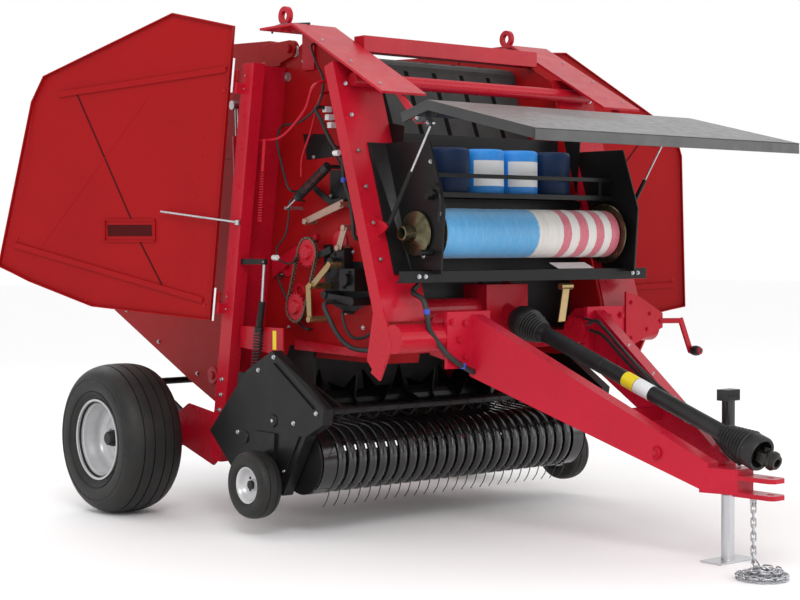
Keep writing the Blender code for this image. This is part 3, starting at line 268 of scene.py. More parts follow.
# Painted shade: the blue twine darkened, a shaded copy for the balls that sit in shadow.
TWINE_SHADED = surface("twine_painted_shade", (0.003, 0.012, 0.045), 0.45, other=(0.005, 0.024, 0.075), patch=40.0,
                     grain=6.0, depth=0.002, strength=0.8, stretch=(1, 1, 60), shine=0.2)
PAPER = surface("label_white", (0.72, 0.73, 0.74), 0.5, other=(0.66, 0.67, 0.68))
YELLOW = surface("label_yellow", (0.8, 0.62, 0.01), 0.45, other=(0.72, 0.55, 0.01))
BLUE = surface("blue_clip", (0.02, 0.06, 0.42), 0.4)
LAMP = surface("red_lens", (0.5, 0.008, 0.008), 0.15, coat=0.8)
NET_COAT, SPANGLE, JACK = net_material(), spangle_material(), jack_material()
BELT = weave_material("belt_weave", (0.018, 0.018, 0.018), (0.034, 0.033, 0.032), 90.0, 0.0012)


# ---------------------------------------------------------------- shapes
def along_z(way):
    """The turn that takes +Z to a direction."""
    return Vector((0, 0, 1)).rotation_difference(Vector(way)).to_matrix().to_4x4()


def box(bm, low, high):
    """A block between two corners."""
    made = bmesh.ops.create_cube(bm, size=1.0)["verts"]
    for v in made:
        v.co = Vector([(a + b) / 2 + c * (b - a) for a, b, c in zip(low, high, v.co)])
    return made


def rod(bm, start, end, radius, sides=16, end_radius=None):
    """A solid round bar, tapered if it has an end radius."""
    start, end = Vector(start), Vector(end)
    far = radius if end_radius is None else end_radius
    bmesh.ops.create_cone(bm, cap_ends=True, segments=sides, radius1=radius, radius2=far,
                          depth=(end - start).length,
                          matrix=Matrix.Translation((start + end) / 2) @ along_z(end - start))


def bridge(bm, rings, capped=True):
    """Faces along a row of equal rings, with a cap on the first and the last."""
    for one, two in zip(rings, rings[1:]):
        for k in range(len(one)):
            n = (k + 1) % len(one)
            bm.faces.new((one[k], one[n], two[n], two[k]))
    if capped:
        bm.faces.new(rings[0][::-1])
        bm.faces.new(rings[-1])


def prism(bm, points, low, high):
    """A (y, z) outline drawn out along X."""
    bridge(bm, [[bm.verts.new((x, y, z)) for y, z in points] for x in (low, high)])


def slab(bm, corners, thick):
    """A flat plate from its corner points, thickened on both sides of its plane."""
    points = [Vector(c) for c in corners]
    normal = (points[1] - points[0]).cross(points[2] - points[0]).normalized() * thick / 2
    bridge(bm, [[bm.verts.new(p + normal * way) for p in points] for way in (-1, 1)])


def tube(bm, points, radius, sides=8, closed=False):
    """A round tube swept along points, its section carried without twist."""
    points = [Vector(p) for p in points]
    count = len(points)
    ways = []
    for k in range(count):
        if closed:
            way = points[(k + 1) % count] - points[k - 1]
        else:
            way = points[min(k + 1, count - 1)] - points[max(k - 1, 0)]
        ways.append(way.normalized())
    across = ways[0].orthogonal().normalized()
    rings = []
    for k, (p, way) in enumerate(zip(points, ways)):
        if k:
            across = (ways[k - 1].rotation_difference(way) @ across).normalized()
        up = way.cross(across)
        size = radius[k] if isinstance(radius, (list, tuple)) else radius
        rings.append([bm.verts.new(p + (across * math.cos(t) + up * math.sin(t)) * size)
                      for t in (math.tau * s / sides for s in range(sides))])
    bridge(bm, rings + rings[:1] if closed else rings, capped=not closed)


def smooth_route(points, pieces=6):
    """Points along a Catmull-Rom curve through the given ones."""
    p = [Vector(q) for q in points]
    p = [2 * p[0] - p[1]] + p + [2 * p[-1] - p[-2]]
    out = []
    for i in range(1, len(p) - 2):
        for k in range(pieces):
            t = k / pieces
            out.append(0.5 * (2 * p[i] + (p[i + 1] - p[i - 1]) * t
                              + (2 * p[i - 1] - 5 * p[i] + 4 * p[i + 1] - p[i + 2]) * t**2
                              + (3 * p[i] - p[i - 1] - 3 * p[i + 1] + p[i + 2]) * t**3))
    return out + [p[-2]]


def lathe(bm, profile, centre, way, steps=64, closed=False):
    """An outline of (distance along, radius) spun about a line; ends on the axis make caps."""
    place_at = Matrix.Translation(Vector(centre)) @ along_z(way)
    rings = []
    for a, r in profile:
        count = 1 if r < 1e-6 else steps
        rings.append([bm.verts.new(place_at @ Vector((r * math.cos(math.tau * k / steps),
                                                     r * math.sin(math.tau * k / steps), a)))
                      for k in range(count)])
    pairs = list(zip(rings, rings[1:])) + ([(rings[-1], rings[0])] if closed else [])
    for one, two in pairs:
        if len(one) == 1 and len(two) == 1:
            continue
        for k in range(steps):
            quad = [one[k % len(one)], one[(k + 1) % len(one)], two[(k + 1) % len(two)], two[k % len(two)]]
            bm.faces.new([v for i, v in enumerate(quad) if v not in quad[:i]])


def bolt(bm, at, way, size=0.009):
    """A hexagon head on its washer, standing on a surface."""
    at, way = Vector(at), Vector(way).normalized()
    rod(bm, at - way * 0.001, at + way * size * 0.25, size * 1.25, 14)
    rod(bm, at + way * size * 0.2, at + way * size * 0.95, size, 6)
    rod(bm, at + way * size * 0.9, at + way * size * 1.25, size * 0.45, 8)


def collar(low, high, inner, outer):
    """The outline of a ring for lathe."""
    return [(low, inner), (low, outer), (high, outer), (high, inner)]


def smooth_tube(bm, points, pieces, radius, sides=8):
    """A tube along a smooth line through the points."""
    tube(bm, smooth_route(points, pieces), radius, sides)


def coil(bm, start, end, radius, wire, turns, sides=6, per_turn=14):
    """A helical spring between two points."""
    start, end = Vector(start), Vector(end)
    way = end - start
    turn = along_z(way)
    count = int(turns * per_turn)
    points = []
    for k in range(count + 1):
        angle = math.tau * turns * k / count
        points.append(start + turn @ Vector((radius * math.cos(angle), radius * math.sin(angle),
                                             way.length * k / count)))
    tube(bm, points, wire, sides)


def piece(name, build, material, body="frame", stands_for=(), smooth=35.0, bevel=0.0):
    """One named object on its body, from a function that fills a bmesh or a list of shape calls."""
    bm = bmesh.new()
    if callable(build):
        build(bm)
    else:
        for shape, *values in build:
            shape(bm, *values)
    bmesh.ops.recalc_face_normals(bm, faces=bm.faces)
    mesh = bpy.data.meshes.new(name)
    bm.to_mesh(mesh)
    bm.free()
    mesh.transform(Matrix.Translation(-ORIGIN))
    mesh.shade_smooth()
    mesh.set_sharp_from_angle(angle=math.radians(smooth))
    mesh.materials.append(material)
    made = bpy.data.objects.new(name, mesh)
    bpy.context.scene.collection.objects.link(made)
    if bevel:
        soften(made, bevel)
    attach(made, body)
    if stands_for:
        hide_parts(*stands_for)
    return made


def outward(x, spots, size):
    """Bolts on both sides of the machine at x, facing out, at (y, z) spots."""
    return [(bolt, (s * x, y, z), (s, 0, 0), size) for s in SIDES.values() for y, z in spots]


def facing(way, spots, size):
    """Bolts that all face one way."""
    return [(bolt, at, way, size) for at in spots]


def pins(start_x, end_x, radius, spots, sides):
    """Round bars across the machine at (y, z) spots."""
    return [(rod, (start_x, y, z), (end_x, y, z), radius, sides) for y, z in spots]


def around(centre, radius, count, turn=0.0):
    """Even points on a circle about a line along X."""
    angles = [math.tau * (k + turn) / count for k in range(count)]
    return [Vector(centre) + Vector((0, math.cos(t), math.sin(t))) * radius for t in angles]


def soften(obj, width):
    """Bevels an object's sharp edges."""
    change = obj.modifiers.new("edges", "BEVEL")
    change.width, change.segments, change.limit_method = width, 2, "ANGLE"
    change.angle_limit = math.radians(32)


def split_y(z):
    """The Y of the leaning line between front frame and tailgate."""
    return -0.744 + (2.35 - z) * SPLIT_LEAN


def column_y(z):
    """The Y of the front columns' sloping face."""
    return -1.527 - (2.155 - z) * 0.3158


# ---------------------------------------------------------------- carried-over CAD nodes
CAD_LOOKS = {
    PANEL: ("side_shield_right", "side_shield_left", "side_sheet_right", "side_sheet_left",
            "tailgate_frame"),
    PAINT: ("axle", "front_column_right", "front_column_left", "front_tube", "gearbox",
            "hinge_post_right", "hinge_post_left", "shoulder_cover_right", "shoulder_cover_left",
            "top_beam", "lift_barrel_right", "lift_barrel_left", "valve_crank"),
    BEAM: ("drawbar", "jack_sleeve"),
    BLACK: ("feed_throat", "feed_rotor", "net_holder", "twine_shelf", "bale_kicker", "pickup_end_right",
            "pickup_end_left", "wind_guard", "hood_strut_tube_right", "hood_strut_tube_left"),
    HOOD: ("hood",),
    STEEL: ("lift_rod_right", "lift_rod_left", "hood_strut_rod_right", "hood_strut_rod_left",
            "prop_rod_right", "prop_rod_left"),
    BELT: ("front_belts", "tailgate_belts"),
    JACK: ("jack_leg",),
}
BEVELLED = {"hood_strut_rod_right", "hood_strut_rod_left", "prop_rod_right", "prop_rod_left",
            "front_belts", "tailgate_belts", "lift_rod_right", "lift_rod_left"}


def dress_cad():
    """Node materials and softened edges for every CAD node that stays in view."""
    for look, names in CAD_LOOKS.items():
        for name in names:
            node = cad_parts[name]
            for k in range(len(node.material_slots)):
                node.material_slots[k].material = look
            if name not in BEVELLED:
                weld = node.modifiers.new("weld", "WELD")
                weld.merge_threshold = 0.00002
                soften(node, 0.0022)


def belt_gaps(name, node, body):
    """Painted shadow: near-black strips flush in the gaps between the belts, on the belts' own section."""
    slack = 0.0005
    bm = bmesh.new()
    bm.from_mesh(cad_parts[node].data)
    bm.normal_update()
    ends = {}
    for face in bm.faces:
        if face.normal.x > 0.99:
            corners = [v.co.copy() for v in face.verts]
            ends.setdefault(round(face.calc_center_median().x, 3), []).append(corners)
    starts = sorted({round(f.calc_center_median().x, 3) for f in bm.faces if f.normal.x < -0.99})
    bm.free()

    def build(out):
        for x, faces in sorted(ends.items()):
            after = [q for q in starts if q > x + 0.001]
            for corners in faces if after else []:
                span = (x + slack, after[0] - slack)
                rings = [[out.verts.new((at, p.y, p.z)) for p in corners] for at in span]
                bridge(out, rings, capped=False)
        for v in out.verts:
            v.co += ORIGIN
        bmesh.ops.remove_doubles(out, verts=out.verts, dist=0.00001)

    piece(name, build, SHADOW, body)


# ---------------------------------------------------------------- wheels
def ribbed(half, outer, bead, bead_half, grooves, width, deep):
    """The tyre section again with points placed at each groove, so its walls are sharp."""
    middle, high, power = (outer + bead) / 2, (outer - bead) / 2, 2.7
    marks = {-half, half}
    for g in grooves:
        marks |= {g - width, g - width * 0.7, g + width * 0.7, g + width}
    inner = [half * math.sin(math.radians(t)) for t in range(-84, 85, 6)]
    tread = sorted(marks | {a for a in inner if all(abs(a - m) > 0.003 for m in marks)})
    crown = []
    for a in tread:
        share = min(1.0, abs(a) / half)
        r = middle + high * (1 - share**power) ** (1 / power)
        if any(abs(a - g) <= width * 0.75 for g in grooves):
            r -= deep
        crown.append((a, r))
    low = []
    for t in range(8, 70, 6):
        c, s = math.cos(math.radians(t)), math.sin(math.radians(t))
        low.append((half * c ** (2 / power), middle - high * s ** (2 / power)))
    low = [(a, r) for a, r in low if a > bead_half]
    ring = [(bead_half, bead), (bead_half - 0.01, bead - 0.003)]
    side = low + ring
    return crown + side + [(-a, r) for a, r in side[::-1]]


def main_wheel(side):
    """A ribbed tyre with sidewall rings, its dished rim, hub cap and nuts."""
    s = SIDES[side]
    centre, out = Vector((s * WHEEL_X, 0, AXLE_Z)), (s, 0, 0)
    body = f"wheel_{side}"
    section = ribbed(TYRE_HALF, TYRE_R, 0.199, 0.138, (-0.088, -0.032, 0.032, 0.088), 0.0042, 0.008)
    rubber = [(lathe, section, centre, out, 96, True)]
    for a, r in ((0.166, 0.252), (0.1685, 0.318), (-0.166, 0.252)):
        raised = [(a - 0.004, r - 0.002), (a + 0.0028, r), (a - 0.004, r + 0.003)]
        rubber.append((lathe, raised, centre, out, 96, True))
    face = [(0.148, 0.2005), (0.152, 0.205), (0.15, 0.212), (0.143, 0.2125), (0.14, 0.203), (0.126, 0.196),
            (0.118, 0.187), (0.092, 0.184), (0.074, 0.176), (0.05, 0.172), (0.03, 0.168), (0.014, 0.155),
            (0.008, 0.138), (0.016, 0.12), (0.03, 0.11), (0.033, 0.096), (0.028, 0.082), (0.03, 0.052),
            (0.03, 0.0)]
    back = [(0.13, 0.19), (-0.14, 0.196), (-0.152, 0.205), (-0.143, 0.2125), (-0.13, 0.19), (-0.11, 0.178),
            (-0.004, 0.165), (-0.004, 0.14), (0.01, 0.1), (-0.02, 0.06), (-0.02, 0.0)]
    cap = [(0.029, 0.0), (0.029, 0.044), (0.058, 0.043), (0.066, 0.038), (0.08, 0.036), (0.086, 0.03),
           (0.088, 0.0)]
    rim = [(lathe, back, centre, out, 64), (lathe, face, centre, out, 64)]
    nuts = facing(out, around(centre + CROSS * s * 0.029, 0.066, 6, 0.5), 0.011)
    piece(f"tyre_main_{side}", rubber, TYRE, body, [f"tyre_{side}"], smooth=28)
    piece(f"rim_main_{side}", rim, SILVER, body, [f"rim_{side}"], smooth=40)
    piece(f"hub_cap_{side}", [(lathe, cap, centre, out, 32)], PLASTIC, body, smooth=40)
    piece(f"wheel_nuts_{side}", nuts, STEEL, body)


def gauge_wheel(side):
    """A small ribbed tyre, its rim, hub and bolts."""
    s = SIDES[side]
    centre, out = Vector((s * GAUGE.x, GAUGE.y, GAUGE.z)), (s, 0, 0)
    body = f"gauge_{side}"
    section = ribbed(GAUGE_HALF, GAUGE_R, 0.084, 0.046, (-0.022, 0.022), 0.0025, 0.004)
    face = [(-0.048, 0.089), (-0.048, 0.08), (-0.01, 0.07), (-0.01, 0.0), (0.016, 0.0), (0.016, 0.024),
            (0.004, 0.03), (0.004, 0.058), (0.012, 0.068), (0.03, 0.074), (0.044, 0.08), (0.048, 0.085),
            (0.048, 0.089)]
    cap = [(0.01, 0.0), (0.01, 0.023), (0.03, 0.021), (0.034, 0.012), (0.034, 0.0)]
    hub = [(lathe, cap, centre, out, 24),
           *facing(out, around(centre + CROSS * s * 0.004, 0.042, 4, 0.5), 0.005)]
    piece(f"gauge_tyre_{side}", [(lathe, section, centre, out, 64, True)], TYRE, body,
          [f"gauge_wheel_{side}"], smooth=28)
    piece(f"gauge_rim_{side}", [(lathe, face, centre, out, 40)], SILVER, body, smooth=40)
    piece(f"gauge_hub_{side}", hub, PLASTIC, body)


# ---------------------------------------------------------------- pickup
BANDS = 25
PITCH = 2 * BAND_HALF / BANDS


def band_path(radius, steps=22):
    """(y, z) points of a stripper band: over the reel from the throat and back under it."""
    points = [(-1.022, REEL.z + radius + 0.022)]
    for k in range(steps + 1):
        t = math.radians(88 + (196 * k / steps))
        points.append((REEL.y + radius * math.cos(t), REEL.z + radius * math.sin(t)))
    return points + [(-0.965, 0.262)]


def stripper_bands(bm):
    """Each band is a strip with rolled edges, so its face is crowned."""
    section = [(-1.0, -0.016), (-0.93, -0.004), (-0.72, 0.0), (0.0, 0.003), (0.72, 0.0), (0.93, -0.004),
               (1.0, -0.016)]
    half = PITCH / 2 - 0.0085
    path = band_path(BAND_OUT - 0.004)
    centre = Vector((REEL.y, REEL.z))
    for i in range(BANDS):
        x = -BAND_HALF + PITCH * (i + 0.5)
        rings = []
        for y, z in path:
            out = (Vector((y, z)) - centre).normalized()
            rings.append([bm.verts.new((x + u * half, y + out.x * v, z + out.y * v)) for u, v in section])
        for one, two in zip(rings, rings[1:]):
            for k in range(len(section) - 1):
                bm.faces.new((one[k], one[k + 1], two[k + 1], two[k]))


def reel_tines(bm):
    """Pairs of spring tines on four bars, trailing slightly as the reel turns."""
    for k in range(4):
        turn = math.radians(45 + 90 * k)
        root = REEL + Vector((0, math.cos(turn), math.sin(turn))) * 0.11
        rod(bm, root + Vector((-0.868, 0, 0)), root + Vector((0.868, 0, 0)), 0.0125, 12)
        for i in range(BANDS + 1):
            x = -BAND_HALF + PITCH * i
            points, sizes = [], []
            for step in range(6):
                share = step / 5
                reach = 0.112 + 0.121 * share
                bent = turn + math.radians(33) * share**1.6
                points.append((x, REEL.y + reach * math.cos(bent), REEL.z + reach * math.sin(bent)))
                sizes.append(0.0033 - 0.0008 * share)
            tube(bm, points, sizes, 5)
            tube(bm, [(x - 0.008, root.y, root.z), (x + 0.008, root.y, root.z)], 0.0165, 10)


def guard_tines(bm):
    """Long curved rods trailing from the wind guard's bar over the bands."""
    for i in range(16):
        x = -0.84 + 0.112 * i
        path = smooth_route([(x, -1.53, 0.62), (x, -1.475, 0.578), (x + 0.006, -1.385, 0.6),
                             (x + 0.014, -1.29, 0.618), (x + 0.03, -1.16, 0.612)], 4)
        tube(bm, path, 0.0042, 6)
        rod(bm, (x - 0.01, -1.53, 0.63), (x + 0.01, -1.53, 0.63), 0.0185, 12)


def pickup_plates(bm):
    """Ribs and adjuster plates on the outside of the pickup's end housings."""
    for s in SIDES.values():
        near, far = s * (HOUSING_OUT - 0.0005), s * (HOUSING_OUT + 0.0095)
        for a, b in (((-1.47, 0.64), (-1.15, 0.84)), ((-1.36, 0.5), (-1.205, 0.25))):
            slab(bm, [(near, *a), (near, *b), (far, *b), (far, *a)], 0.006)
        for y, z in ((-1.14, 0.56), (-0.9, 0.46)):
            lathe(bm, [(0, 0), (0, 0.034), (0.008, 0.03), (0.008, 0)], (s * HOUSING_OUT, y, z), (s, 0, 0), 24)


def pickup():
    """Bands with their end drums, beam, reel, guard tines, plates and bolts."""
    spots = [(-1.49, 0.62), (-1.15, 0.87), (-1.02, 0.8), (-0.84, 0.48), (-1.14, 0.56),
             (-1.23, 0.32), (-0.96, 0.33), (-1.31, 0.56)]
    beam = [(box, (-PICKUP_IN, -0.99, 0.27), (PICKUP_IN, -0.92, 0.34)),
            (box, (-PICKUP_IN, -1.05, 0.548), (PICKUP_IN, -1.022, 0.562))]
    beam += [(lathe, collar(-0.001, 0.006, 0.03, 0.166), (s * 0.897, REEL.y, REEL.z), (s, 0, 0), 48, True)
             for s in SIDES.values()]
    shell = band_path(BAND_OUT - 0.002) + band_path(BAND_OUT - 0.006)[::-1]
    drums = [(prism, shell, *sorted((s * 0.809, s * 0.888))) for s in SIDES.values()]
    core = pins(-0.9145, 0.9145, 0.028, [(REEL.y, REEL.z)], 20)
    core += [(lathe, [(-0.004, 0.0), (-0.004, 0.126), (0.004, 0.126), (0.004, 0.0)], (x, REEL.y, REEL.z),
              CROSS, 32) for x in (-0.862, 0.0, 0.862)]
    piece("stripper_bands", stripper_bands, GLOSS, "pickup", ["pickup_bands"], smooth=50)
    piece("band_drums", drums, GLOSS, "pickup", smooth=40)
    piece("pickup_beam", beam, BLACK, "pickup", bevel=0.002)
    piece("reel_tines", reel_tines, STEEL_DARK, "reel", ["pickup_reel"], smooth=60)
    piece("reel_core", core, BLACK, "reel")
    piece("guard_tines", guard_tines, BLACK, "wind_guard", smooth=60)
    piece("pickup_plates", pickup_plates, BLACK, "pickup", bevel=0.001)
    piece("pickup_bolts", outward(HOUSING_OUT, spots, 0.009), STEEL, "pickup")


def pickup_spring(side):
    """The coil spring beside a hinge post, with its stem and collars."""
    x = SIDES[side] * 0.84
    collars = [
        (rod, (x, -0.832, 0.994), (x, -0.862, 1.13), 0.017, 16),
        (rod, (x, -0.798, 0.768), (x, -0.801, 0.79), 0.023, 16),
        (rod, (x, -0.829, 0.975), (x, -0.832, 1.0), 0.023, 16),
        (prism, [(-0.895, 1.317), (-0.895, 1.345), (split_y(1.345) - 0.101, 1.345),
                 (split_y(1.317) - 0.101, 1.317)], x - 0.01, x + 0.01)]
    spring = [(coil, (x, -0.798, 0.772), (x, -0.832, 0.998), 0.0215, 0.0045, 15)]
    stem = [(rod, (x, -0.86, 1.125), (x, -0.882, 1.338), 0.0075, 12),
            (bolt, (x, -0.8826, 1.33), (0, -0.02, 0.21), 0.01)]
    piece(f"spring_coil_{side}", spring, PLASTIC, "frame", [f"pickup_spring_{side}"], smooth=60)
    piece(f"spring_fittings_{side}", collars, BLACK)
    piece(f"spring_stem_{side}", stem, SPANGLE)


# ---------------------------------------------------------------- net, twine, hood
def net_and_twine():
    """The net roll on its core, and four twine balls in their box."""
    def roll(bm):
        profile = [(-NET_HALF, 0.03), (-NET_HALF, NET_R - 0.006), (-NET_HALF + 0.006, NET_R)]
        for k in range(1, 60):
            a = -NET_HALF + 2 * NET_HALF * k / 60
            profile.append((a, NET_R - 0.0012 * rng.random()))
        profile += [(NET_HALF - 0.006, NET_R), (NET_HALF, NET_R - 0.006), (NET_HALF, 0.03)]
        lathe(bm, profile, NET, (1, 0, 0), 72)

    core = pins(-0.646, 0.646, 0.0295, [(NET.y, NET.z)], 24)
    disc = [(0.0, 0.03), (0.0, 0.148), (0.004, 0.152), (0.008, 0.148), (0.02, 0.06), (0.03, 0.045),
            (0.03, 0.03)]
    discs = [(lathe, disc, NET + CROSS * (s * 0.6), (s, 0, 0), 56) for s in SIDES.values()]
    piece("net_wrap_roll", roll, NET_COAT, "net_roll", ["net_roll"], smooth=30)
    piece("net_core", core, PAPER, "net_roll")
    piece("net_discs", discs, DISC, "net_roll", smooth=40)
    floor_z, high, radius = 1.6573, 0.225, 0.115
    for i in range(4):
        centre = (-0.345 + 0.23 * i, -1.7, floor_z)

        def ball(bm, centre=centre):
            profile = [(0, 0), (0, radius - 0.014), (0.004, radius - 0.006), (0.014, radius)]
            for k in range(1, 24):
                profile.append((0.014 + (high - 0.028) * k / 24, radius - 0.0009 * (k % 2)))
            profile += [(high - 0.014, radius), (high - 0.004, radius - 0.006), (high, radius - 0.014),
                        (high, 0.03), (high - 0.06, 0.028), (high - 0.06, 0)]
            lathe(bm, profile, centre, (0, 0, 1), 40)

        # Painted shade: balls 1 and 4 take the darkened copy of the twine.
        bright = i in (1, 2)
        piece(f"twine_ball_{i + 1}", ball, TWINE if bright else TWINE_SHADED, "frame",
              ["twine_balls"] if i == 0 else (), smooth=40)

        def label(bm, centre=centre):
            rings = []
            for k in range(13):
                t = math.radians(-150 + 95 * k / 12)
                way = Vector((math.cos(t), math.sin(t), 0)) * (radius + 0.0006)
                rings.append([bm.verts.new(Vector(centre) + way + Vector((0, 0, z))) for z in (0.045, 0.17)])
            for one, two in zip(rings, rings[1:]):
                bm.faces.new((one[0], two[0], two[1], one[1]))

        if bright:
            piece(f"twine_label_{i + 1}", label, PAPER)


def net_box_details():
    """Sheets, dish, arms, brake lever, blank plate and bolts of the net box."""
    arm, lever = 0.668, -0.664
    dish = [(0, 0.03), (0, 0.1), (0.004, 0.106), (0.01, 0.104), (0.014, 0.092), (0.02, 0.06),
            (0.03, 0.036), (0.09, 0.034), (0.092, 0.026), (0.03, 0.024)]
    cheek = [(-1.52, 1.645), (-1.66, 1.645), (-1.69, 1.98), (-1.59, 2.0), (-1.52, 1.97)]
    sheets = [(box, (-0.598, -1.69, 1.235), (0.598, -1.687, 1.64))]
    for s in SIDES.values():
        ends = sorted((s * 0.16, s * 0.598))
        sheets.append((box, (ends[0], -1.62, 0.985), (ends[1], -1.617, 1.235)))
        sheets.append((prism, cheek, *sorted((s * 0.596, s * 0.6))))
    box_bolts = outward(0.6575, ((-1.99, 1.33), (-2.015, 1.56), (-1.95, 1.8), (-1.9, 1.36)), 0.008)
    box_bolts += facing((0, -1, 0), [(x, -1.9605, 1.27) for x in (-0.74, -0.7, 0.7, 0.74)], 0.009)
    arms = [
        (slab, [(arm, -2.01, 1.3), (arm, -2.03, 1.56), (arm, -1.93, 1.64), (arm, -1.89, 1.47),
                (arm, -1.92, 1.3)], 0.008),
        *pins(0.655, 0.7, 0.034, [(NET.y, NET.z)], 20),
        *pins(0.655, 0.69, 0.022, [(-1.975, 1.65)], 16)]
    ratchet = [
        *pins(lever, -0.735, 0.014, [(-1.962, 1.38)], 16),
        (smooth_tube, [(-0.672, -1.98, 1.7), (-0.69, -2.05, 1.64), (-0.69, -2.04, 1.52)], 5, 0.006),
        *pins(-0.659, -0.69, 0.017, ((-1.955, 1.64), (-1.985, 1.655)), 18),
        (slab, [(lever, -2.03, 1.3), (lever, -2.036, 1.345), (lever, -1.9, 1.345),
                (lever, -1.88, 1.3)], 0.008)]
    plate = (slab, [(0.17, -1.955, 1.298), (0.42, -1.955, 1.298), (0.42, -1.89, 1.326),
                    (0.17, -1.89, 1.326)], 0.001)

    piece("net_back_sheets", sheets, BLACK)
    piece("net_box_bolts", box_bolts, STEEL)
    piece("net_box_arms", arms, BLACK, bevel=0.0015)
    piece("net_side_dish", [(lathe, dish, (-0.664, NET.y, NET.z), -CROSS, 48, True)], DISC, smooth=40)
    piece("net_brake_lever", ratchet, BLACK)
    piece("net_box_plate", [plate], PAPER)


def hood_details():
    """Bolts of the hood's arms and hinge."""
    hood_bolts = outward(0.8115, [(-2.11, 1.965)], 0.008) + outward(0.7445, [(-1.96, 2.0)], 0.01)
    piece("hood_bolts", hood_bolts, STEEL, "hood")


# ---------------------------------------------------------------- drawbar and drive shaft
def pto_details():
    """Boots, sleeve, clips, yoke and bands of the drive shaft."""
    way = (PTO_FRONT - PTO_REAR).normalized()
    total = (PTO_FRONT - PTO_REAR).length

    def at(a):
        return PTO_REAR + way * a

    def boots(bm):
        bell = [(0.028, 0.06), (0.03, 0.07), (0.06, 0.081), (0.11, 0.081)]
        for k in range(7):
            a = 0.112 + 0.014 * k
            r = 0.079 - 0.0042 * k
            bell += [(a, r), (a + 0.006, r + 0.0025), (a + 0.01, r - 0.005)]
        bell += [(0.222, 0.047), (0.24, 0.04)]
        lathe(bm, bell, PTO_REAR, way, 40)
        end = total - 0.085
        cone = [(end - 0.225, 0.04)]
        for k in range(8):
            a = end - 0.21 + 0.0185 * k
            r = 0.047 + 0.0042 * k
            cone += [(a, r), (a + 0.007, r + 0.0045), (a + 0.013, r - 0.003)]
        cone += [(end - 0.052, 0.0775), (end - 0.01, 0.0775), (end, 0.0735), (end - 0.004, 0.062),
                 (end - 0.06, 0.06)]
        lathe(bm, cone, PTO_REAR, way, 44)

    def sleeve(bm):
        lathe(bm, [(0.225, 0.022), (0.225, 0.0385), (0.64, 0.0385), (0.642, 0.0365), (1.4, 0.0365),
                   (1.4, 0.022)], PTO_REAR, way, 36)

    def clips(bm):
        side = way.orthogonal().normalized()
        up = way.cross(side)
        for a, r in ((0.15, 0.077), (0.225, 0.046), (total - 0.3, 0.046), (total - 0.14, 0.079)):
            for k in range(6):
                t = math.tau * k / 6
                out = side * math.cos(t) + up * math.sin(t)
                rod(bm, at(a) + out * (r - 0.01), at(a) + out * (r - 0.002), 0.0045, 8)

    def joint(bm):
        fork_up = way.cross(CROSS)
        for arm in (CROSS, fork_up):
            rod(bm, at(total - 0.07) - arm * 0.039, at(total - 0.07) + arm * 0.039, 0.014, 16)
        yoke = [(0.052, 0.0), (0.052, 0.03), (0.046, 0.036), (0.034, 0.037), (0.032, 0.043), (0.02, 0.043),
                (0.018, 0.037), (0.012, 0.037), (0.01, 0.032), (0.001, 0.031), (0.001, 0.019), (0.03, 0.018),
                (0.03, 0.0)]
        lathe(bm, [(total - a, r) for a, r in yoke], PTO_REAR, way, 36)
        for turned in (-1, 1):
            back = at(total - 0.084) + CROSS * (turned * 0.033)
            front = at(total - 0.04) + CROSS * (turned * 0.03)
            slab(bm, [back + fork_up * 0.02, front + fork_up * 0.026, front - fork_up * 0.026,
                      back - fork_up * 0.02], 0.012)
        rod(bm, at(0.01), at(total - 0.08), 0.019, 16)

    def wrap(name, start, end, look):
        ring = (lathe, collar(start, end, 0.036, 0.03725), PTO_REAR, way, 36)
        piece(name, [ring], look)

    piece("shaft_boots", boots, PLASTIC, "frame", ["pto_guard"], smooth=50)
    piece("shaft_sleeve", sleeve, PLASTIC)
    piece("shaft_clips", clips, DULL)
    piece("shaft_joint", joint, FORGED, "pto", ["pto_shaft"])
    wrap("shaft_band_yellow", 0.79, 0.865, YELLOW)
    wrap("shaft_band_white", 0.868, 0.96, PAPER)


HOSE_LINES = [
    (0.0085, 12, [(0.3, -2.03, 1.02), (0.31, -2.08, 1.04), (0.27, -2.18, 1.0), (0.235, -2.34, 0.9),
                  (0.19, -2.54, 0.79), (0.14, -2.76, 0.69), (0.095, -2.96, 0.6), (0.066, -3.1, 0.5),
                  (0.05, -3.19, 0.459)]),
    (0.0085, 12, [(0.33, -2.02, 0.99), (0.3, -2.14, 0.965), (0.24, -2.33, 0.868), (0.175, -2.56, 0.752),
                  (0.118, -2.78, 0.655)]),
    (0.0065, 10, [(0.29, -2.02, 1.05), (0.262, -2.16, 1.022), (0.225, -2.32, 0.925), (0.165, -2.56, 0.78),
                  (0.105, -2.76, 0.69)]),
]
COUPLERS = [((0.118, -2.78, 0.655), (0.09, -2.88, 0.618)), ((0.105, -2.76, 0.69), (0.08, -2.85, 0.652))]
BEAM_SLOPE, BEAM_RISE = 0.3158, 0.548  # how far the drawbar's beams spread and climb for each metre back


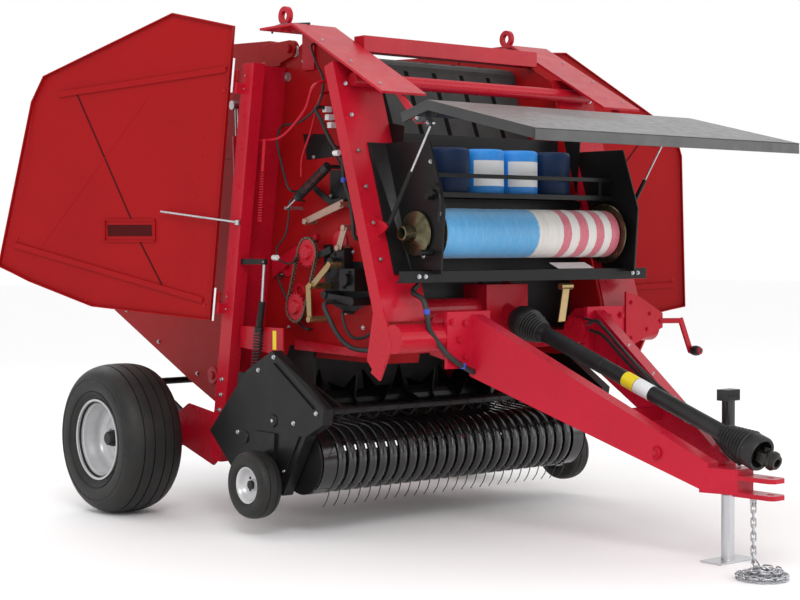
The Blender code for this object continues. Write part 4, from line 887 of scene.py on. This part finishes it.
def drawbar_details():
    """Bolts, bosses, hoses, rest strap and handle on the drawbar."""
    spots = ((0.53, 0.975), (0.492, 1.05), (0.572, 1.058), (0.492, 0.895), (0.572, 0.89))
    beam_bolts = facing((0, -1, 0), [(s * x, -2.0, z) for s in SIDES.values() for x, z in spots], 0.014)
    beam_bolts += outward(0.5725, ((-1.95, 1.06), (-1.88, 1.03), (-1.95, 0.9)), 0.011)
    boss_x = 0.095 + (3.13 - 2.9) * BEAM_SLOPE
    bosses = [(lathe, collar(0, 0.01, 0.016, 0.03), (s * boss_x, -2.9, 0.5), (s, 0.3, 0), 24, True)
              for s in SIDES.values()]
    hoses = [(smooth_tube, line, 7, radius, sides) for radius, sides, line in HOSE_LINES]

    def couplers(bm):
        for a, b in COUPLERS:
            way = Vector(b) - Vector(a)
            lathe(bm, [(0, 0), (0, 0.011), (0.02, 0.011), (0.022, 0.015), (0.05, 0.015), (0.053, 0.019),
                       (0.08, 0.019), (0.082, 0.016), (way.length, 0.016), (way.length, 0)], a, way, 20)

    def clips(bm):
        for y in (-2.3, -2.52, -2.7):
            x, z = 0.058 + (3.13 + y) * BEAM_SLOPE, 0.47 + (3.13 + y) * BEAM_RISE
            around_hoses = [(x, y, z - 0.06), (x - 0.028, y, z - 0.02), (x - 0.02, y - 0.012, z + 0.012)]
            smooth_tube(bm, around_hoses, 4, 0.004, 6)

    strap = [
        (slab, [(0.25, -1.905, 1.2), (0.298, -1.905, 1.2), (0.2, -1.97, 1.035), (0.152, -1.97, 1.035)],
         0.008),
        *pins(0.238, 0.318, 0.017, [(-1.9, 1.207)], 16)]
    handle = (smooth_tube, [(-0.3, -2.01, 0.838), (-0.302, -2.012, 0.8), (-0.33, -2.014, 0.786),
                      (-0.4, -2.014, 0.786), (-0.428, -2.012, 0.8), (-0.43, -2.01, 0.838)], 5, 0.006, 8)
    piece("drawbar_bolts", beam_bolts, BEAM)
    piece("drawbar_bosses", bosses, BEAM)
    piece("drawbar_hoses", hoses, HOSE, "frame", ["hydraulic_hose"], smooth=60)
    piece("hose_couplers", couplers, SPANGLE)
    piece("hose_clips", clips, SPANGLE)
    piece("shaft_rest_strap", strap, ZINC, bevel=0.001)
    piece("drawbar_handle", [handle], PAINT)


def jack_details():
    """The sleeve's collars, the pin with its ring, and the jack's head."""
    def pin(bm):
        for low, high in ((0.325, 0.345), (0.548, 0.566)):
            lathe(bm, collar(low, high, 0.03, 0.0385), (JACK_X, JACK_Y, 0), (0, 0, 1), 28, closed=True)
        rod(bm, (JACK_X - 0.05, JACK_Y, 0.5), (JACK_X + 0.05, JACK_Y, 0.5), 0.008, 12)
        smooth_tube(bm, [(JACK_X + 0.05, JACK_Y, 0.5), (JACK_X + 0.058, JACK_Y, 0.48),
                   (JACK_X + 0.05, JACK_Y, 0.462), (JACK_X + 0.04, JACK_Y, 0.462)], 4, 0.0025, 6)

    def head(bm):
        box(bm, (JACK_X - 0.043, JACK_Y - 0.0315, 0.722), (JACK_X + 0.043, JACK_Y + 0.0315, 0.769))
        for dx in (-0.024, 0.0, 0.024):
            rod(bm, (JACK_X + dx, JACK_Y - 0.034, 0.744), (JACK_X + dx, JACK_Y - 0.03, 0.744), 0.0055, 12)

    piece("jack_pin", pin, SPANGLE)
    piece("jack_head", head, BLACK, "jack_leg", bevel=0.002)


# ---------------------------------------------------------------- safety chain
LINK_PITCH, LINK_HALF, WIRE = 0.03, 0.014, 0.0036
CHAIN_TOP = Vector((-0.02, -3.32, 0.3325))
PILE = Vector((-0.054, -3.404, 0.0))


def chain_route():
    """Down from the hitch, then a turn inward on top of the pile and three turns out below it."""
    down = [CHAIN_TOP, Vector((-0.02, -3.32, 0.29)), Vector((-0.021, -3.321, 0.2)),
            Vector((-0.022, -3.322, 0.11)), Vector((-0.024, -3.326, 0.06))]
    start = math.atan2(-3.33 - PILE.y, -0.03 - PILE.x)
    points = list(down)
    for k in range(1, 27):
        share = k / 26
        t = start - math.tau * 1.35 * share
        r = 0.084 - 0.044 * share
        z = 0.036 if share < 0.75 else 0.036 - 0.022 * (share - 0.75) / 0.25
        points.append(Vector((PILE.x + r * math.cos(t), PILE.y + r * math.sin(t), z)))
    last = start - math.tau * 1.35
    for k in range(1, 73):
        share = k / 72
        t = last - math.tau * 2.75 * share
        r = 0.04 + 0.079 * share
        points.append(Vector((PILE.x + r * math.cos(t), PILE.y + r * math.sin(t), 0.0143)))
    return smooth_route(points, 4)


def spaced(points, step):
    """Points a fixed distance apart along a line."""
    out, left = [points[0]], step
    for a, b in zip(points, points[1:]):
        long = (b - a).length
        done = 0.0
        while long - done >= left:
            done += left
            out.append(a.lerp(b, done / long))
            left = step
        left -= long - done
    return out


def chain_links(bm, spots):
    """Oval links, each turned across its neighbours."""
    side = Vector((1, 0, 0))
    for k, (a, b) in enumerate(zip(spots, spots[1:])):
        way = (b - a).normalized()
        side = (side - way * side.dot(way)).normalized()
        up = way.cross(side)
        turn = math.radians(35) if k % 2 else math.radians(-50)
        wide = side * math.cos(turn) + up * math.sin(turn)
        middle = (a + b) / 2
        ring = []
        straight, bend = LINK_PITCH / 2 - 0.003, LINK_HALF - WIRE
        for centre, low in ((straight, -90), (-straight, 90)):
            for j in range(6):
                t = math.radians(low + 36 * j)
                ring.append(middle + way * (centre + bend * math.cos(t)) + wide * bend * math.sin(t))
        tube(bm, ring, WIRE, 6, closed=True)


def safety_chain():
    route = chain_route()
    spots = spaced(route, LINK_PITCH)
    made = piece("chain_links", lambda bm: chain_links(bm, spots), SPANGLE, "frame",
                 ["safety_chain", "safety_chain_pile"], smooth=60)

    bow = [CHAIN_TOP + Vector((x, 0, z)) for x, z in ((0.0, 0.012), (0.016, -0.004), (0.012, -0.03),
                                                      (-0.012, -0.03), (-0.016, -0.004), (0.0, 0.012))]
    shackle = piece("chain_shackle", [(smooth_tube, bow, 4, 0.0042, 8)], SPANGLE, smooth=60)


# ---------------------------------------------------------------- right side workings
def chain_drive():
    """Two sprockets with a roller chain round them."""
    x = -0.68
    spots = [(-1.03, 1.377), (-0.93, 1.1)]

    def sprockets(bm):
        for y, z in spots:
            centre = (x, y, z)
            profile = [(-0.0045, 0.0), (-0.0045, 0.066), (0.0045, 0.066), (0.0045, 0.0)]
            lathe(bm, profile, centre, CROSS, 40)
            lathe(bm, [(-0.004, 0), (-0.004, 0.038), (-0.02, 0.03), (-0.02, 0)], centre, CROSS, 24)
            rod(bm, (-SHEET_OUT - 0.001, y, z), centre, 0.0215, 16)
            for tooth in around(centre, 0.069, 18):
                rod(bm, tooth - CROSS * 0.0045, tooth + CROSS * 0.0045, 0.0065, 6)

    def chain(bm):
        (y1, z1), (y2, z2) = spots
        lean = math.degrees(math.atan2(z1 - z2, y1 - y2))
        loop = []
        for (y, z), low in (((y1, z1), lean - 90), ((y2, z2), lean + 90)):
            for k in range(11):
                t = math.radians(low + 18 * k)
                loop.append(Vector((x, y + 0.0745 * math.cos(t), z + 0.0745 * math.sin(t))))
        loop.append(loop[0])
        marks = spaced(loop, 0.0159)
        for k, (a, b) in enumerate(zip(marks, marks[1:])):
            shift = 0.008 if k % 2 else 0.0058
            along = (b - a).normalized() * 0.004
            up = along.normalized().cross(CROSS) * 0.0052
            for middle in (-CROSS * shift, CROSS * shift):
                slab(bm, [middle + a - along + up, middle + a - along - up, middle + b + along - up,
                          middle + b + along + up], 0.0018)
            rod(bm, a - CROSS * 0.0088, a + CROSS * 0.0088, 0.0042, 8)

    piece("drive_sprockets", sprockets, PAINT, "frame", ["chain_drive"])
    piece("drive_roller_chain", chain, OILED)


SIDE_LINES = [
    (-0.7, 0.01, [(-1.13, 2.094), (-1.178, 2.022), (-1.243, 1.93), (-1.338, 1.829), (-1.353, 1.731),
                     (-1.4, 1.633), (-1.423, 1.526), (-1.44, 1.45)]),
    (-0.7, 0.006, [(-1.098, 2.408), (-1.131, 2.321), (-1.19, 2.226), (-1.146, 2.108), (-0.996, 2.032),
                     (-0.85, 2.02), (-0.8, 1.957), (-0.81, 1.9), (-0.85, 1.796), (-0.909, 1.693)]),
    (-0.69, 0.005, [(-0.9, 1.64), (-0.88, 1.54), (-0.85, 1.46), (-0.78, 1.4), (-0.8, 1.34),
                     (-0.9, 1.32), (-0.96, 1.36)]),
    (-0.66, 0.005, [(-1.19, 1.9), (-1.28, 1.8), (-1.33, 1.66), (-1.39, 1.56)]),
    (-0.75, 0.012, [(-1.264, 1.131), (-1.304, 1.049), (-1.383, 0.965), (-1.477, 0.921), (-1.6, 0.915)]),
    (-0.67, 0.008, [(-1.3, 1.08), (-1.34, 0.99), (-1.42, 0.96), (-1.54, 1.0), (-1.62, 1.1)]),
    (-0.64, 0.006, [(-0.72, 1.25), (-0.8, 1.13), (-0.86, 1.04), (-0.96, 0.99)]),
]


# Painted shade: outlines of the side sheets' openings, filled with flat black plates for the shadow inside
# them.
SHEET_OPENING_SHADES = (
    ((-0.89, 1.981), (-1.116, 1.97), (-1.197, 1.857), (-0.924, 1.847)),
    ((-1.115, 1.79), (-1.237, 1.786), (-1.277, 1.612), (-1.115, 1.64)),
    ((-1.06, 1.415), (-1.236, 1.425), (-1.275, 1.335), (-1.425, 1.332), (-1.456, 1.147), (-1.274, 1.069),
     (-1.071, 1.138)),
)
SHEET_BOLTS = (
    (-0.7, 1.26), (-0.76, 0.99), (-1.24, 1.08), (-1.38, 1.01), (-1.3, 1.38), (-1.42, 1.52),
    (-1.12, 1.66), (-0.98, 1.86), (-1.24, 2.03), (-1.4, 2.16), (-1.5, 1.06), (-1.62, 0.96),
    (-1.56, 1.28), (-0.9, 2.35), (-1.28, 2.33),
)
WALL = -SHEET_OUT - 0.001  # where pieces stand on the right side sheet


def plate(x, thick, *corners):
    """A plate lying in the sheet's direction at x, with (y, z) corners."""
    return (slab, [(x, y, z) for y, z in corners], thick)


def springs():
    """The density and tension springs with their ends and rods."""
    x, tension_x = -0.7, -0.8
    ends = [(rod, (x, -1.225, 1.803), (x, -1.19, 1.782), 0.024, 16),
            (rod, (x, -0.99, 1.664), (x, -0.97, 1.653), 0.023, 16),
            *pins(-0.604, -0.715, 0.01, [(-1.222, 1.801)], 12)]
    rods = [(rod, (x, -0.98, 1.659), (x, -0.88, 1.6), 0.0055, 12),
            *pins(-0.604, -0.712, 0.009, [(-0.884, 1.602)], 12)]
    tension = [(coil, (tension_x, -0.816, 1.795), (tension_x, -0.788, 1.532), 0.012, 0.0035, 20),
               (rod, (tension_x, -0.832, 1.95), (tension_x, -0.815, 1.79), 0.011, 14)]
    density = [(coil, (x, -1.2, 1.788), (x, -0.98, 1.659), 0.021, 0.0042, 17)]
    piece("density_spring", density, PLASTIC, smooth=60)
    piece("density_spring_ends", ends, PLASTIC)
    piece("density_rods", rods, SPANGLE)
    piece("tension_spring", tension, PAINT, smooth=60)


def side_arms():
    """Zinc-plated arms of the idler and the tensioner, on their pins."""
    idler = [
        plate(-0.716, 0.01, (-1.29, 1.325), (-1.25, 1.335), (-1.105, 1.225), (-1.135, 1.205)),
        plate(-0.722, 0.008, (-1.11, 1.22), (-1.072, 1.215), (-1.085, 1.03), (-1.118, 1.035)),
        *pins(WALL, -0.735, 0.016, ((-1.268, 1.318), (-1.112, 1.212), (-1.103, 1.045)), 18)]
    tension = [
        plate(-0.66, 0.012, (-1.3, 1.6), (-1.295, 1.64), (-0.985, 1.55), (-0.985, 1.515)),
        plate(-0.67, 0.008, (-1.34, 1.5), (-1.3, 1.51), (-1.25, 1.4), (-1.29, 1.39)),
        *pins(WALL, -0.682, 0.015, ((-1.285, 1.615), (-1.0, 1.533), (-1.315, 1.5), (-1.265, 1.4)), 18)]
    piece("idler_arms", idler, ZINC, bevel=0.0015)
    piece("tension_arms", tension, BRONZE, bevel=0.0015)


def side_brackets():
    """Dark brackets, links and a motor behind the chain drive."""
    cluster = [
        (box, (-0.69, -1.42, 1.19), (WALL, -1.3, 1.3)),
        (box, (-0.66, -1.3, 1.24), (WALL, -1.19, 1.4)),
        plate(-0.668, 0.008, (-1.2, 1.41), (-1.06, 1.37), (-1.08, 1.34), (-1.21, 1.375)),
        plate(-0.7, 0.01, (-1.43, 1.16), (-1.19, 1.18), (-1.19, 1.15), (-1.43, 1.12)),
        (prism, [(-1.0, 1.7), (-1.18, 1.6), (-1.26, 1.615), (-1.255, 1.65), (-1.17, 1.64),
                 (-1.01, 1.73)], -0.64, -0.63)]
    for y, z, r in ((-1.36, 1.245, 0.03), (-1.25, 1.33, 0.024), (-1.2, 1.17, 0.02), (-1.42, 1.14, 0.02)):
        cluster += pins(WALL, -0.712, r, [(y, z)], 20)
    spots = ((-1.38, 1.28), (-1.34, 1.21), (-1.27, 1.37), (-1.22, 1.29))
    cluster += facing(-CROSS, [(-0.69, *q) for q in spots], 0.01)
    piece("drive_cluster", cluster, BLACK, bevel=0.0015)


def sheet_parts():
    """Bearings, strips, discs, openings and bolts on the side sheets; the openings are flat black plates of
    painted shade.
    """
    bearings = []
    for y, z, r in ((-0.76, 1.3, 0.05), (-1.2, 1.43, 0.06), (-0.86, 1.18, 0.045)):
        ring = [(0, 0.02), (0, r), (0.008, r - 0.004), (0.008, 0.02)]
        bearings.append((lathe, ring, (-SHEET_OUT, y, z), -CROSS, 28, True))
    bearings.append((prism, [(-0.64, 1.24), (-0.64, 1.33), (-1.02, 1.47), (-1.02, 1.44)], -0.622, WALL))
    bearings.append((prism, [(-0.86, 0.88), (-1.5, 0.865), (-1.5, 0.9), (-0.86, 0.93)], -0.64, WALL))
    discs = [(lathe, [(0, 0), (0, r), (0.006, r - 0.002), (0.008, r * 0.55), (0.003, r * 0.5), (0.003, 0)],
              (-SHEET_FACE, y, z), -CROSS, 28) for y, z, r in ((-0.83, 2.405, 0.03), (-0.76, 2.28, 0.026))]
    openings = [plate(-SHEET_FACE, 0.001, *corners) for corners in SHEET_OPENING_SHADES]
    piece("sheet_bearings", bearings, PAINT, bevel=0.001)
    piece("sheet_opening_shades", openings, BLACK)
    piece("sheet_discs", discs, SPANGLE)
    piece("sheet_bolts", outward(SHEET_OUT, SHEET_BOLTS, 0.009), STEEL)


def side_lines():
    """Cables, pipes and hoses along the side sheet, with their plugs and clips."""
    cables = []
    for x, size, line in SIDE_LINES:
        points = [(-SHEET_OUT, *line[0]), *((x, *q) for q in line), (-SHEET_OUT, *line[-1])]
        cables.append((smooth_tube, points, 6, size, 10))
    first = [(-SHEET_OUT, -1.247, 2.23)]
    first += [(-0.79, *q) for q in ((-1.247, 2.198), (-1.156, 2.077), (-0.972, 1.96), (-0.8, 1.945),
                                     (-0.7, 1.945))]
    second = [(-SHEET_OUT, -1.11, 2.18)]
    second += [(-0.66, *q) for q in ((-1.11, 2.15), (-1.03, 1.98), (-0.96, 1.86), (-0.95, 1.76))]
    front = [(-0.69, -1.9, 1.232), (-0.72, -1.895, 1.198), (-0.72, -1.968, 1.163), (-0.72, -1.995, 1.094),
             (-0.7, -1.99, 1.024), (-0.65, -1.99, 0.966), (-0.6, -2.012, 0.9), (-0.5, -2.02, 0.84),
             (-0.42, -2.005, 0.812)]
    plugs = [(box, (-0.65, y - 0.016, z - 0.014), (-0.612, y + 0.016, z + 0.014))
             for y, z in ((-1.13, 2.09), (-1.15, 2.05), (-1.17, 2.01))]
    plugs += [(rod, (x, y - 0.02, z), (x, y + 0.02, z), 0.014, 12)
              for x, y, z in ((-0.72, -1.322, 1.863), (-0.7, -0.78, 1.35))]
    clips = [(rod, (x, y, z - 0.012), (x, y, z + 0.012), 0.0155, 12)
             for x, y, z in ((-0.7, -1.353, 1.731), (-0.72, -1.993, 1.11), (-0.52, -2.018, 0.852))]
    pipes = [(smooth_tube, first, 6, 0.008, 10), (smooth_tube, second, 6, 0.007, 10)]
    piece("drive_pipes", pipes, PAINT, smooth=60)
    piece("side_cables", cables, HOSE, smooth=60)
    piece("front_hose", [(smooth_tube, front, 6, 0.013, 12)], HOSE, smooth=60)
    piece("cable_plugs", plugs, PAPER, bevel=0.002)
    piece("cable_clips", clips, BLUE)


# ---------------------------------------------------------------- frame and tailgate


def frame_bolts(bm):
    """Bolts on posts, columns and shoulder covers."""
    ahead = (0, -1, -0.3)
    for s in SIDES.values():
        for z in (2.27, 2.205, 1.15, 1.085):
            bolt(bm, (s * 0.868, split_y(z) - 0.03, z), (s, 0, 0), 0.0055)
        for z in (1.35, 1.52, 1.69, 1.86, 2.03, 2.18):
            bolt(bm, (s * 0.83, column_y(z) - 0.0125, z), ahead, 0.008)
        for z in (0.56, 0.64, 0.72):
            bolt(bm, (s * 0.8705, split_y(z) - 0.05, z), (s, 0, 0), 0.01)
        for y in (-1.78, -1.56, -1.34):
            bolt(bm, (s * 0.82, y, 2.11 + (y + 1.85) * 0.5435 + 0.013), (0, -0.45, 1), 0.007)
        bolt(bm, (s * 0.82, -1.06, 2.498), (0, 0, 1), 0.007)


def frame_details():
    """Curtain, carrier, blank plate, cable and lamps."""
    cable = [(-0.7, -0.76, 2.5), (-0.76, -0.86, 2.512), (-0.78, -0.96, 2.515), (-0.77, -1.08, 2.508),
             (-0.76, -1.16, 2.503)]
    lamps = [(box, (s * 0.5 - 0.055, 1.0405, 1.56), (s * 0.5 + 0.055, 1.052, 1.64)) for s in SIDES.values()]
    carrier = (prism, [(-1.01, 0.86), (-0.64, 0.89), (-0.64, 1.0), (-1.01, 1.0)], -0.8215, -0.812)
    yellow = plate(-0.822, 0.001, (-0.955, 0.985), (-0.925, 0.985), (-0.925, 0.89), (-0.955, 0.89))
    curtain = (box, (-0.584, -0.616, 0.33), (0.584, -0.61, 0.9))
    piece("throat_curtain", [curtain], BELT)
    piece("frame_bolts", frame_bolts, STEEL)
    piece("sheet_carrier", [carrier], PAINT, bevel=0.001)
    piece("blank_plate_yellow", [yellow], YELLOW)
    piece("top_cable", [(smooth_tube, cable, 6, 0.006, 8)], HOSE, smooth=60)
    piece("tail_lamps", lamps, LAMP, "tailgate", bevel=0.003)


def tailgate_details():
    """Bolts, bearing caps and ribs on the tailgate's side sheets."""
    spots = ((0.9, 1.6), (0.6, 2.18), (0.2, 2.4), (0.5, 0.86), (0.85, 1.03), (0.1, 0.7),
             (-0.3, 2.33), (0.94, 1.25))
    caps, ribs, half = [], [], 0.02
    for s in SIDES.values():
        for y, z, r in ((-0.56, 2.33, 0.045), (0.48, 2.24, 0.055), (0.9, 1.48, 0.055),
                        (0.84, 1.09, 0.055), (-0.06, 0.7, 0.05)):
            cap = [(0, 0), (0, r), (0.01, r - 0.004), (0.012, 0.024), (0.022, 0.022), (0.022, 0)]
            caps.append((lathe, cap, (s * SHEET_OUT, y, z), (s, 0, 0), 28))
        for (y1, z1), (y2, z2) in (((-0.3, 1.0), (0.9, 1.56)), ((-0.44, 1.9), (0.82, 1.9))):
            corners = (y1, z1 - half), (y2, z2 - half), (y2, z2 + half), (y1, z1 + half)
            ribs.append(plate(s * (SHEET_OUT + 0.0025), 0.006, *corners))
    piece("tailgate_bolts", outward(SHEET_FACE, spots, 0.009), STEEL, "tailgate")
    piece("tailgate_bearings", caps, PAINT, "tailgate", bevel=0.001)
    piece("tailgate_ribs", ribs, PANEL, "tailgate", bevel=0.001)


# ---------------------------------------------------------------- side shields
def hinge_at(side, z):
    """A point of a shield's hinge line."""
    return Vector((SIDES[side] * SHIELD_X, split_y(z), z))


def swing(side):
    """Takes a point of a closed shield to where it stands open."""
    axis = (hinge_at(side, 2.0) - hinge_at(side, 1.0)).normalized()
    at = hinge_at(side, 1.0)
    turn = Matrix.Rotation(math.radians(SHIELD_OPEN[side]) * SIDES[side], 4, axis)
    return Matrix.Translation(at) @ turn @ Matrix.Translation(-at)


def shield_details(side):
    """Seams and latch well in painted shade, crease, welds, latch, painted hinge highlights and bolts on one
    side shield.
    """
    s = SIDES[side]
    move = swing(side)

    def inside(y, z, off):
        """A point on the inner face of the closed shield, off metres inside it, swung open."""
        return move @ Vector((s * (SHIELD_X - off), y, z))

    inward = inside(0, 0, 1) - inside(0, 0, 0)

    def strip(bm, a, b, wide, low, high):
        """A flat strip from a to b on the shield, between two depths inside it."""
        a, b = Vector(a), Vector(b)
        way = (b - a).normalized()
        cross = Vector((-way.y, way.x)) * wide / 2
        corners = (a + cross, b + cross, b - cross, a - cross)
        bridge(bm, [[bm.verts.new(inside(*corner, depth)) for corner in corners] for depth in (low, high)])

    # Painted shade: dark strips flush on the shield along its grooves and seams.
    def seams(bm):
        for a, b in (((-1.603, 1.947), (-1.142, 1.398)), ((-1.063, 1.296), (-0.886, 1.113))):
            strip(bm, a, b, 0.009, -0.001, 0.0012)
        strip(bm, (-1.706, 1.912), (-0.8, 2.283), 0.004, -0.001, 0.0012)
        strip(bm, (-1.785, 1.064), (-0.64, 1.102), 0.007, -0.001, 0.0012)

    def crease(bm):
        strip(bm, (-1.186, 2.051), (-1.667, 1.018), 0.004, 0.0, 0.0014)

    def welds(bm):
        for k in range(14):
            share = k / 13
            y, z = -0.888 + 0.14 * share, 2.44 - 1.34 * share
            lathe(bm, [(0, 0), (0, 0.006), (0.002, 0.004), (0.0025, 0)], inside(y, z, 0), inward, 10)

    def latch(bm):
        rim = [(-1.29, 1.35), (-1.006, 1.432), (-0.98, 1.325), (-1.264, 1.242)]
        for a, b in zip(rim, rim[1:] + rim[:1]):
            strip(bm, a, b, 0.008, 0.0, 0.01)

    # Painted shade: a dark patch inside the latch's rim.
    def latch_dark(bm):
        strip(bm, (-1.262, 1.3), (-1.01, 1.374), 0.06, -0.0005, 0.001)

    # Painted highlight: white strips along the hinge edges stand in for the light they catch.
    def bright(bm):
        for z in (2.27, 1.11):
            strip(bm, (split_y(z) - 0.022, z + 0.085), (split_y(z) + 0.004, z - 0.085), 0.01, 0.024, 0.028)

    def outer_bolts(bm):
        for y, z in ((-0.8, 2.3), (-0.78, 2.18), (-0.64, 1.2), (-0.625, 1.08), (-1.7, 1.92),
                     (-1.78, 1.1), (-1.3, 0.9)):
            bolt(bm, inside(y, z, 0), inward, 0.007)

    body = f"shield_{side}"
    piece(f"shield_seams_{side}", seams, GROOVE_SHADE, body)
    piece(f"shield_crease_{side}", crease, PANEL, body)
    piece(f"shield_welds_{side}", welds, PANEL, body)
    piece(f"shield_latch_{side}", latch, PANEL, body)
    piece(f"shield_latch_well_{side}", latch_dark, GROOVE_SHADE, body)
    piece(f"shield_hinge_highlight_strips_{side}", bright, PAPER, body)
    piece(f"shield_bolts_{side}", outer_bolts, PAINT, body)


def crank_details():
    """The crank's knob, and the bolts of its plate."""
    knob = [(0, 0), (0, 0.014), (0.008, 0.024), (0.028, 0.027), (0.048, 0.023), (0.06, 0.01), (0.062, 0)]
    spots = [(x, -2.0105, z) for x, z in ((0.64, 1.12), (0.64, 0.94), (0.78, 1.06), (0.76, 0.98))]
    piece("crank_knob", [(lathe, knob, (1.04, -2.071, 0.862), (0, -1, 0), 24)], PLASTIC)
    piece("gusset_bolts", facing((0, -1, 0), spots, 0.009), PAINT)


# ---------------------------------------------------------------- stage, light and camera
def sheet_material(name, colour):
    """Plain white paper."""
    made, tree, shader = nodes_of(name)
    grey = blend_colours(tree, spread(tree, noise(tree, place(tree), 3.0), 0.0, 1.0), colour,
                         tuple(c * 0.99 for c in colour))
    tree.links.new(grey, shader.inputs["Base Color"])
    shader.inputs["Roughness"].default_value = 0.7
    return made


def stage():
    """The white floor and world."""
    bpy.ops.mesh.primitive_plane_add(size=90.0, location=(0, 3.0, -ORIGIN.z - 0.0005))
    floor = bpy.context.object
    floor.name = "studio_floor"
    floor.data.materials.append(sheet_material("studio_floor_white", (0.97, 0.97, 0.97)))
    world = bpy.data.worlds.new("studio")
    bpy.context.scene.world = world
    world.use_nodes = True
    background = world.node_tree.nodes["Background"]
    background.inputs["Color"].default_value = (1.0, 1.0, 1.0, 1.0)
    background.inputs["Strength"].default_value = 1.0
    bpy.context.scene.view_settings.view_transform = "Standard"


def area_light(name, at, target, size, power):
    """A rectangular light aimed at a point."""
    light = bpy.data.lights.new(name, "AREA")
    light.shape, light.size, light.size_y, light.energy = "RECTANGLE", size[0], size[1], power
    made = bpy.data.objects.new(name, light)
    made.location = at
    made.rotation_mode = "QUATERNION"
    made.rotation_quaternion = (Vector(target) - Vector(at)).to_track_quat("-Z", "Y")
    bpy.context.scene.collection.objects.link(made)


def lights():
    """Key, fill, front and back lights."""
    middle = (0.0, 1.8, 0.6)
    area_light("key", (-5.5, -4.5, 6.5), middle, (4.0, 3.0), 330.0)
    area_light("fill", (6.5, -5.0, 3.5), middle, (5.0, 4.0), 120.0)
    area_light("front", (-2.0, -9.0, 2.0), middle, (6.0, 3.0), 90.0)
    area_light("back", (0.5, 9.0, 6.0), middle, (6.0, 4.0), 160.0)


def camera():
    """The view from the right front corner."""
    data = bpy.data.cameras.new("view")
    data.sensor_width, data.lens = 36.0, 76.8
    data.shift_x, data.shift_y = -0.036, -0.00725
    data.clip_start, data.clip_end = 0.1, 200.0
    made = bpy.data.objects.new("view", data)
    ahead, right, up = (Vector(v) for v in ((0.65275, 0.75697, -0.03006), (0.75729, -0.65307, -0.00114),
                                            (0.02049, 0.02202, 0.99955)))
    turn = Matrix((right, up, -ahead)).transposed().to_4x4()
    made.matrix_world = Matrix.Translation((-5.817, -4.583, 1.0)) @ turn
    bpy.context.scene.collection.objects.link(made)
    bpy.context.scene.camera = made


def main():
    camera()
    safety_chain()
    dress_cad()
    belt_gaps("front_belt_gap_shadows", "front_belts", "frame")
    belt_gaps("tailgate_belt_gap_shadows", "tailgate_belts", "tailgate")
    for side in SIDES:
        main_wheel(side)
        gauge_wheel(side)
        pickup_spring(side)
        shield_details(side)
    pickup()
    net_and_twine()
    net_box_details()
    hood_details()
    pto_details()
    drawbar_details()
    jack_details()
    chain_drive()
    springs()
    side_arms()
    side_brackets()
    sheet_parts()
    side_lines()
    frame_details()
    tailgate_details()
    crank_details()
    stage()
    lights()


main()
